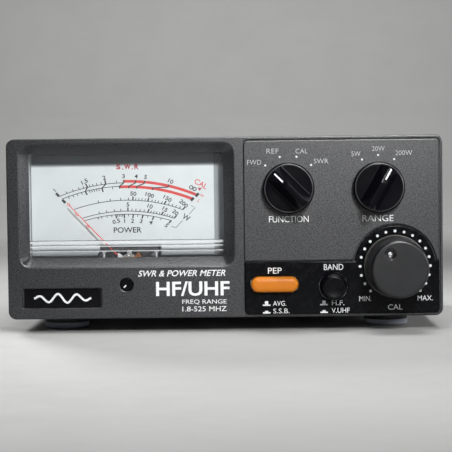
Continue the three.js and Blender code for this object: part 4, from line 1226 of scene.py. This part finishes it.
def inside_and_case():
    """CAD nodes that keep their shape: some with eased edges, the rest only with a finish."""
    refined("top_cover", CASE, 0.25, crease=30)
    refined("chassis_pan", STEEL, 0.2)
    refined("rear_panel", CASE, 0.2)
    refined("dc_jack", KNOB, 0.12)
    refined("moving_coil", COPPER, 0.7, "movement", 60)
    refined("hf_through_line", BRASS, 0.1)
    refined("vhf_through_line", BRASS, 0.1)
    finishes = {
        MOULDING: ("meter_housing", "pep_switch", "band_switch", "pep_plunger", "band_plunger"),
        DIAL: ("dial_plate",),
        IRON: ("magnet_yoke",),
        ALLOY: ("core_magnet", *nodes("_sensor_box"), *nodes("_shaft")),
        BLACK_AND_SHADE: ("front_bridge", "function_switch", "range_switch"),
        KNOB: ("zero_screw",),
        GLASS: ("meter_lamp",),
        BRONZE: ("hairspring", "zero_lever"),
        STEEL: ("cal_potentiometer", "switch_bracket"),
        BOARD: ("main_board",),
        FERRITE: ("hf_toroid",),
        PTFE: nodes("_insulator"),
    }
    for material, names in finishes.items():
        for node in names:
            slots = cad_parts[node].data.materials
            slots.clear()
            slots.append(material)


# ---- studio

FLOOR_DROP = 0.03  # keeps the feet's soles off the floor's own plane
PICTURE = 160.6  # how much of the bezel's plane the picture takes in, across
SENSOR = 36
LIGHTS = (  # name, place, what it points at, size, watts, spread in degrees
    ("key", (120, -470, 282), (-6, 0, 0), 55, 0.262, 52),
    ("sheen", (120, -600, 205), (10, 0, 0), 160, 0.13, 50),
    ("ceiling", (40, -40, 640), (0, 20, 0), 260, 0.85, 80),
    ("side", (620, -60, 160), (0, 30, 0), 240, 0.34, 60),
    ("rear", (-420, 620, 420), (0, 60, 0), 260, 0.95, 60),
    ("wall", (0, 500, 700), (0, 1600, 150), 900, 10.0, 130),
)


def facing(place, aim):
    """The turn that points a light or the camera, at place, towards aim."""
    return (at(*aim) - place).to_track_quat("-Z", "Y")


def backdrop():
    """The floor, which curves up into a wall behind, in the row frame's millimetres."""
    line = [(-3000, 0), (900, 0), (1200, 30), (1450, 140), (1600, 330), (1680, 600), (1700, 3000)]
    shape = Shape()
    shape.net([[(x, y, z - FLOOR_DROP) for y, z in line] for x in (-3000, 3000)])
    mesh = shape.mesh("floor", lambda *v: Vector(v) * MM)
    mesh.materials.append(FLOOR)
    for polygon in mesh.polygons:
        polygon.use_smooth = True
    obj = put("floor", mesh)


def lights():
    """A faint even world and the lamps; the sheen shows only in reflections."""
    world = bpy.data.worlds.new("studio")
    bpy.context.scene.world = world
    world.use_nodes = True
    background = world.node_tree.nodes["Background"].inputs
    background["Color"].default_value = (0.92, 0.96, 1.0, 1)
    background["Strength"].default_value = 0.045
    for name, place, aim, size, watts, spread in LIGHTS:
        data = bpy.data.lights.new(name, "AREA")
        data.size = size * MM
        data.energy = watts
        data.spread = math.radians(spread)
        light = put(name, data)
        light.visible_diffuse = name != "sheen"
        light.location = at(*place)
        light.rotation_euler = facing(light.location, aim).to_euler()


def camera():
    """The photo's view, with the small roll that its lower edge shows."""
    data = bpy.data.cameras.new("camera")
    data.sensor_width = SENSOR
    data.lens = SENSOR * -VIEW.y / PICTURE
    data.clip_start, data.clip_end = 0.01, 20
    eye = put("camera", data)
    eye.location = at(*VIEW)
    roll = Matrix.Rotation(math.radians(-0.66), 4, "Z")
    look = facing(eye.location, (0.5, 0, 0.5)).to_matrix().to_4x4()
    eye.matrix_world = Matrix.Translation(eye.location) @ look @ roll
    bpy.context.scene.camera = eye


bezel()
black_panel()
badge()
legends()
bar_knob("function_bar", FUNCTION_X, -45, "function_control", "function_knob")
bar_knob("range_bar", RANGE_X, 30, "range_control", "range_knob")
cal_knob()
buttons()
dial_print()
dial_shades()
lens()
needle()
movement()
feet()
cover_screws()
sockets()
rear_screws()
rear_print()
inside_and_case()
backdrop()
lights()
camera()
bpy.context.scene.view_settings.view_transform = "Standard"

bpy.context.view_layer.update()
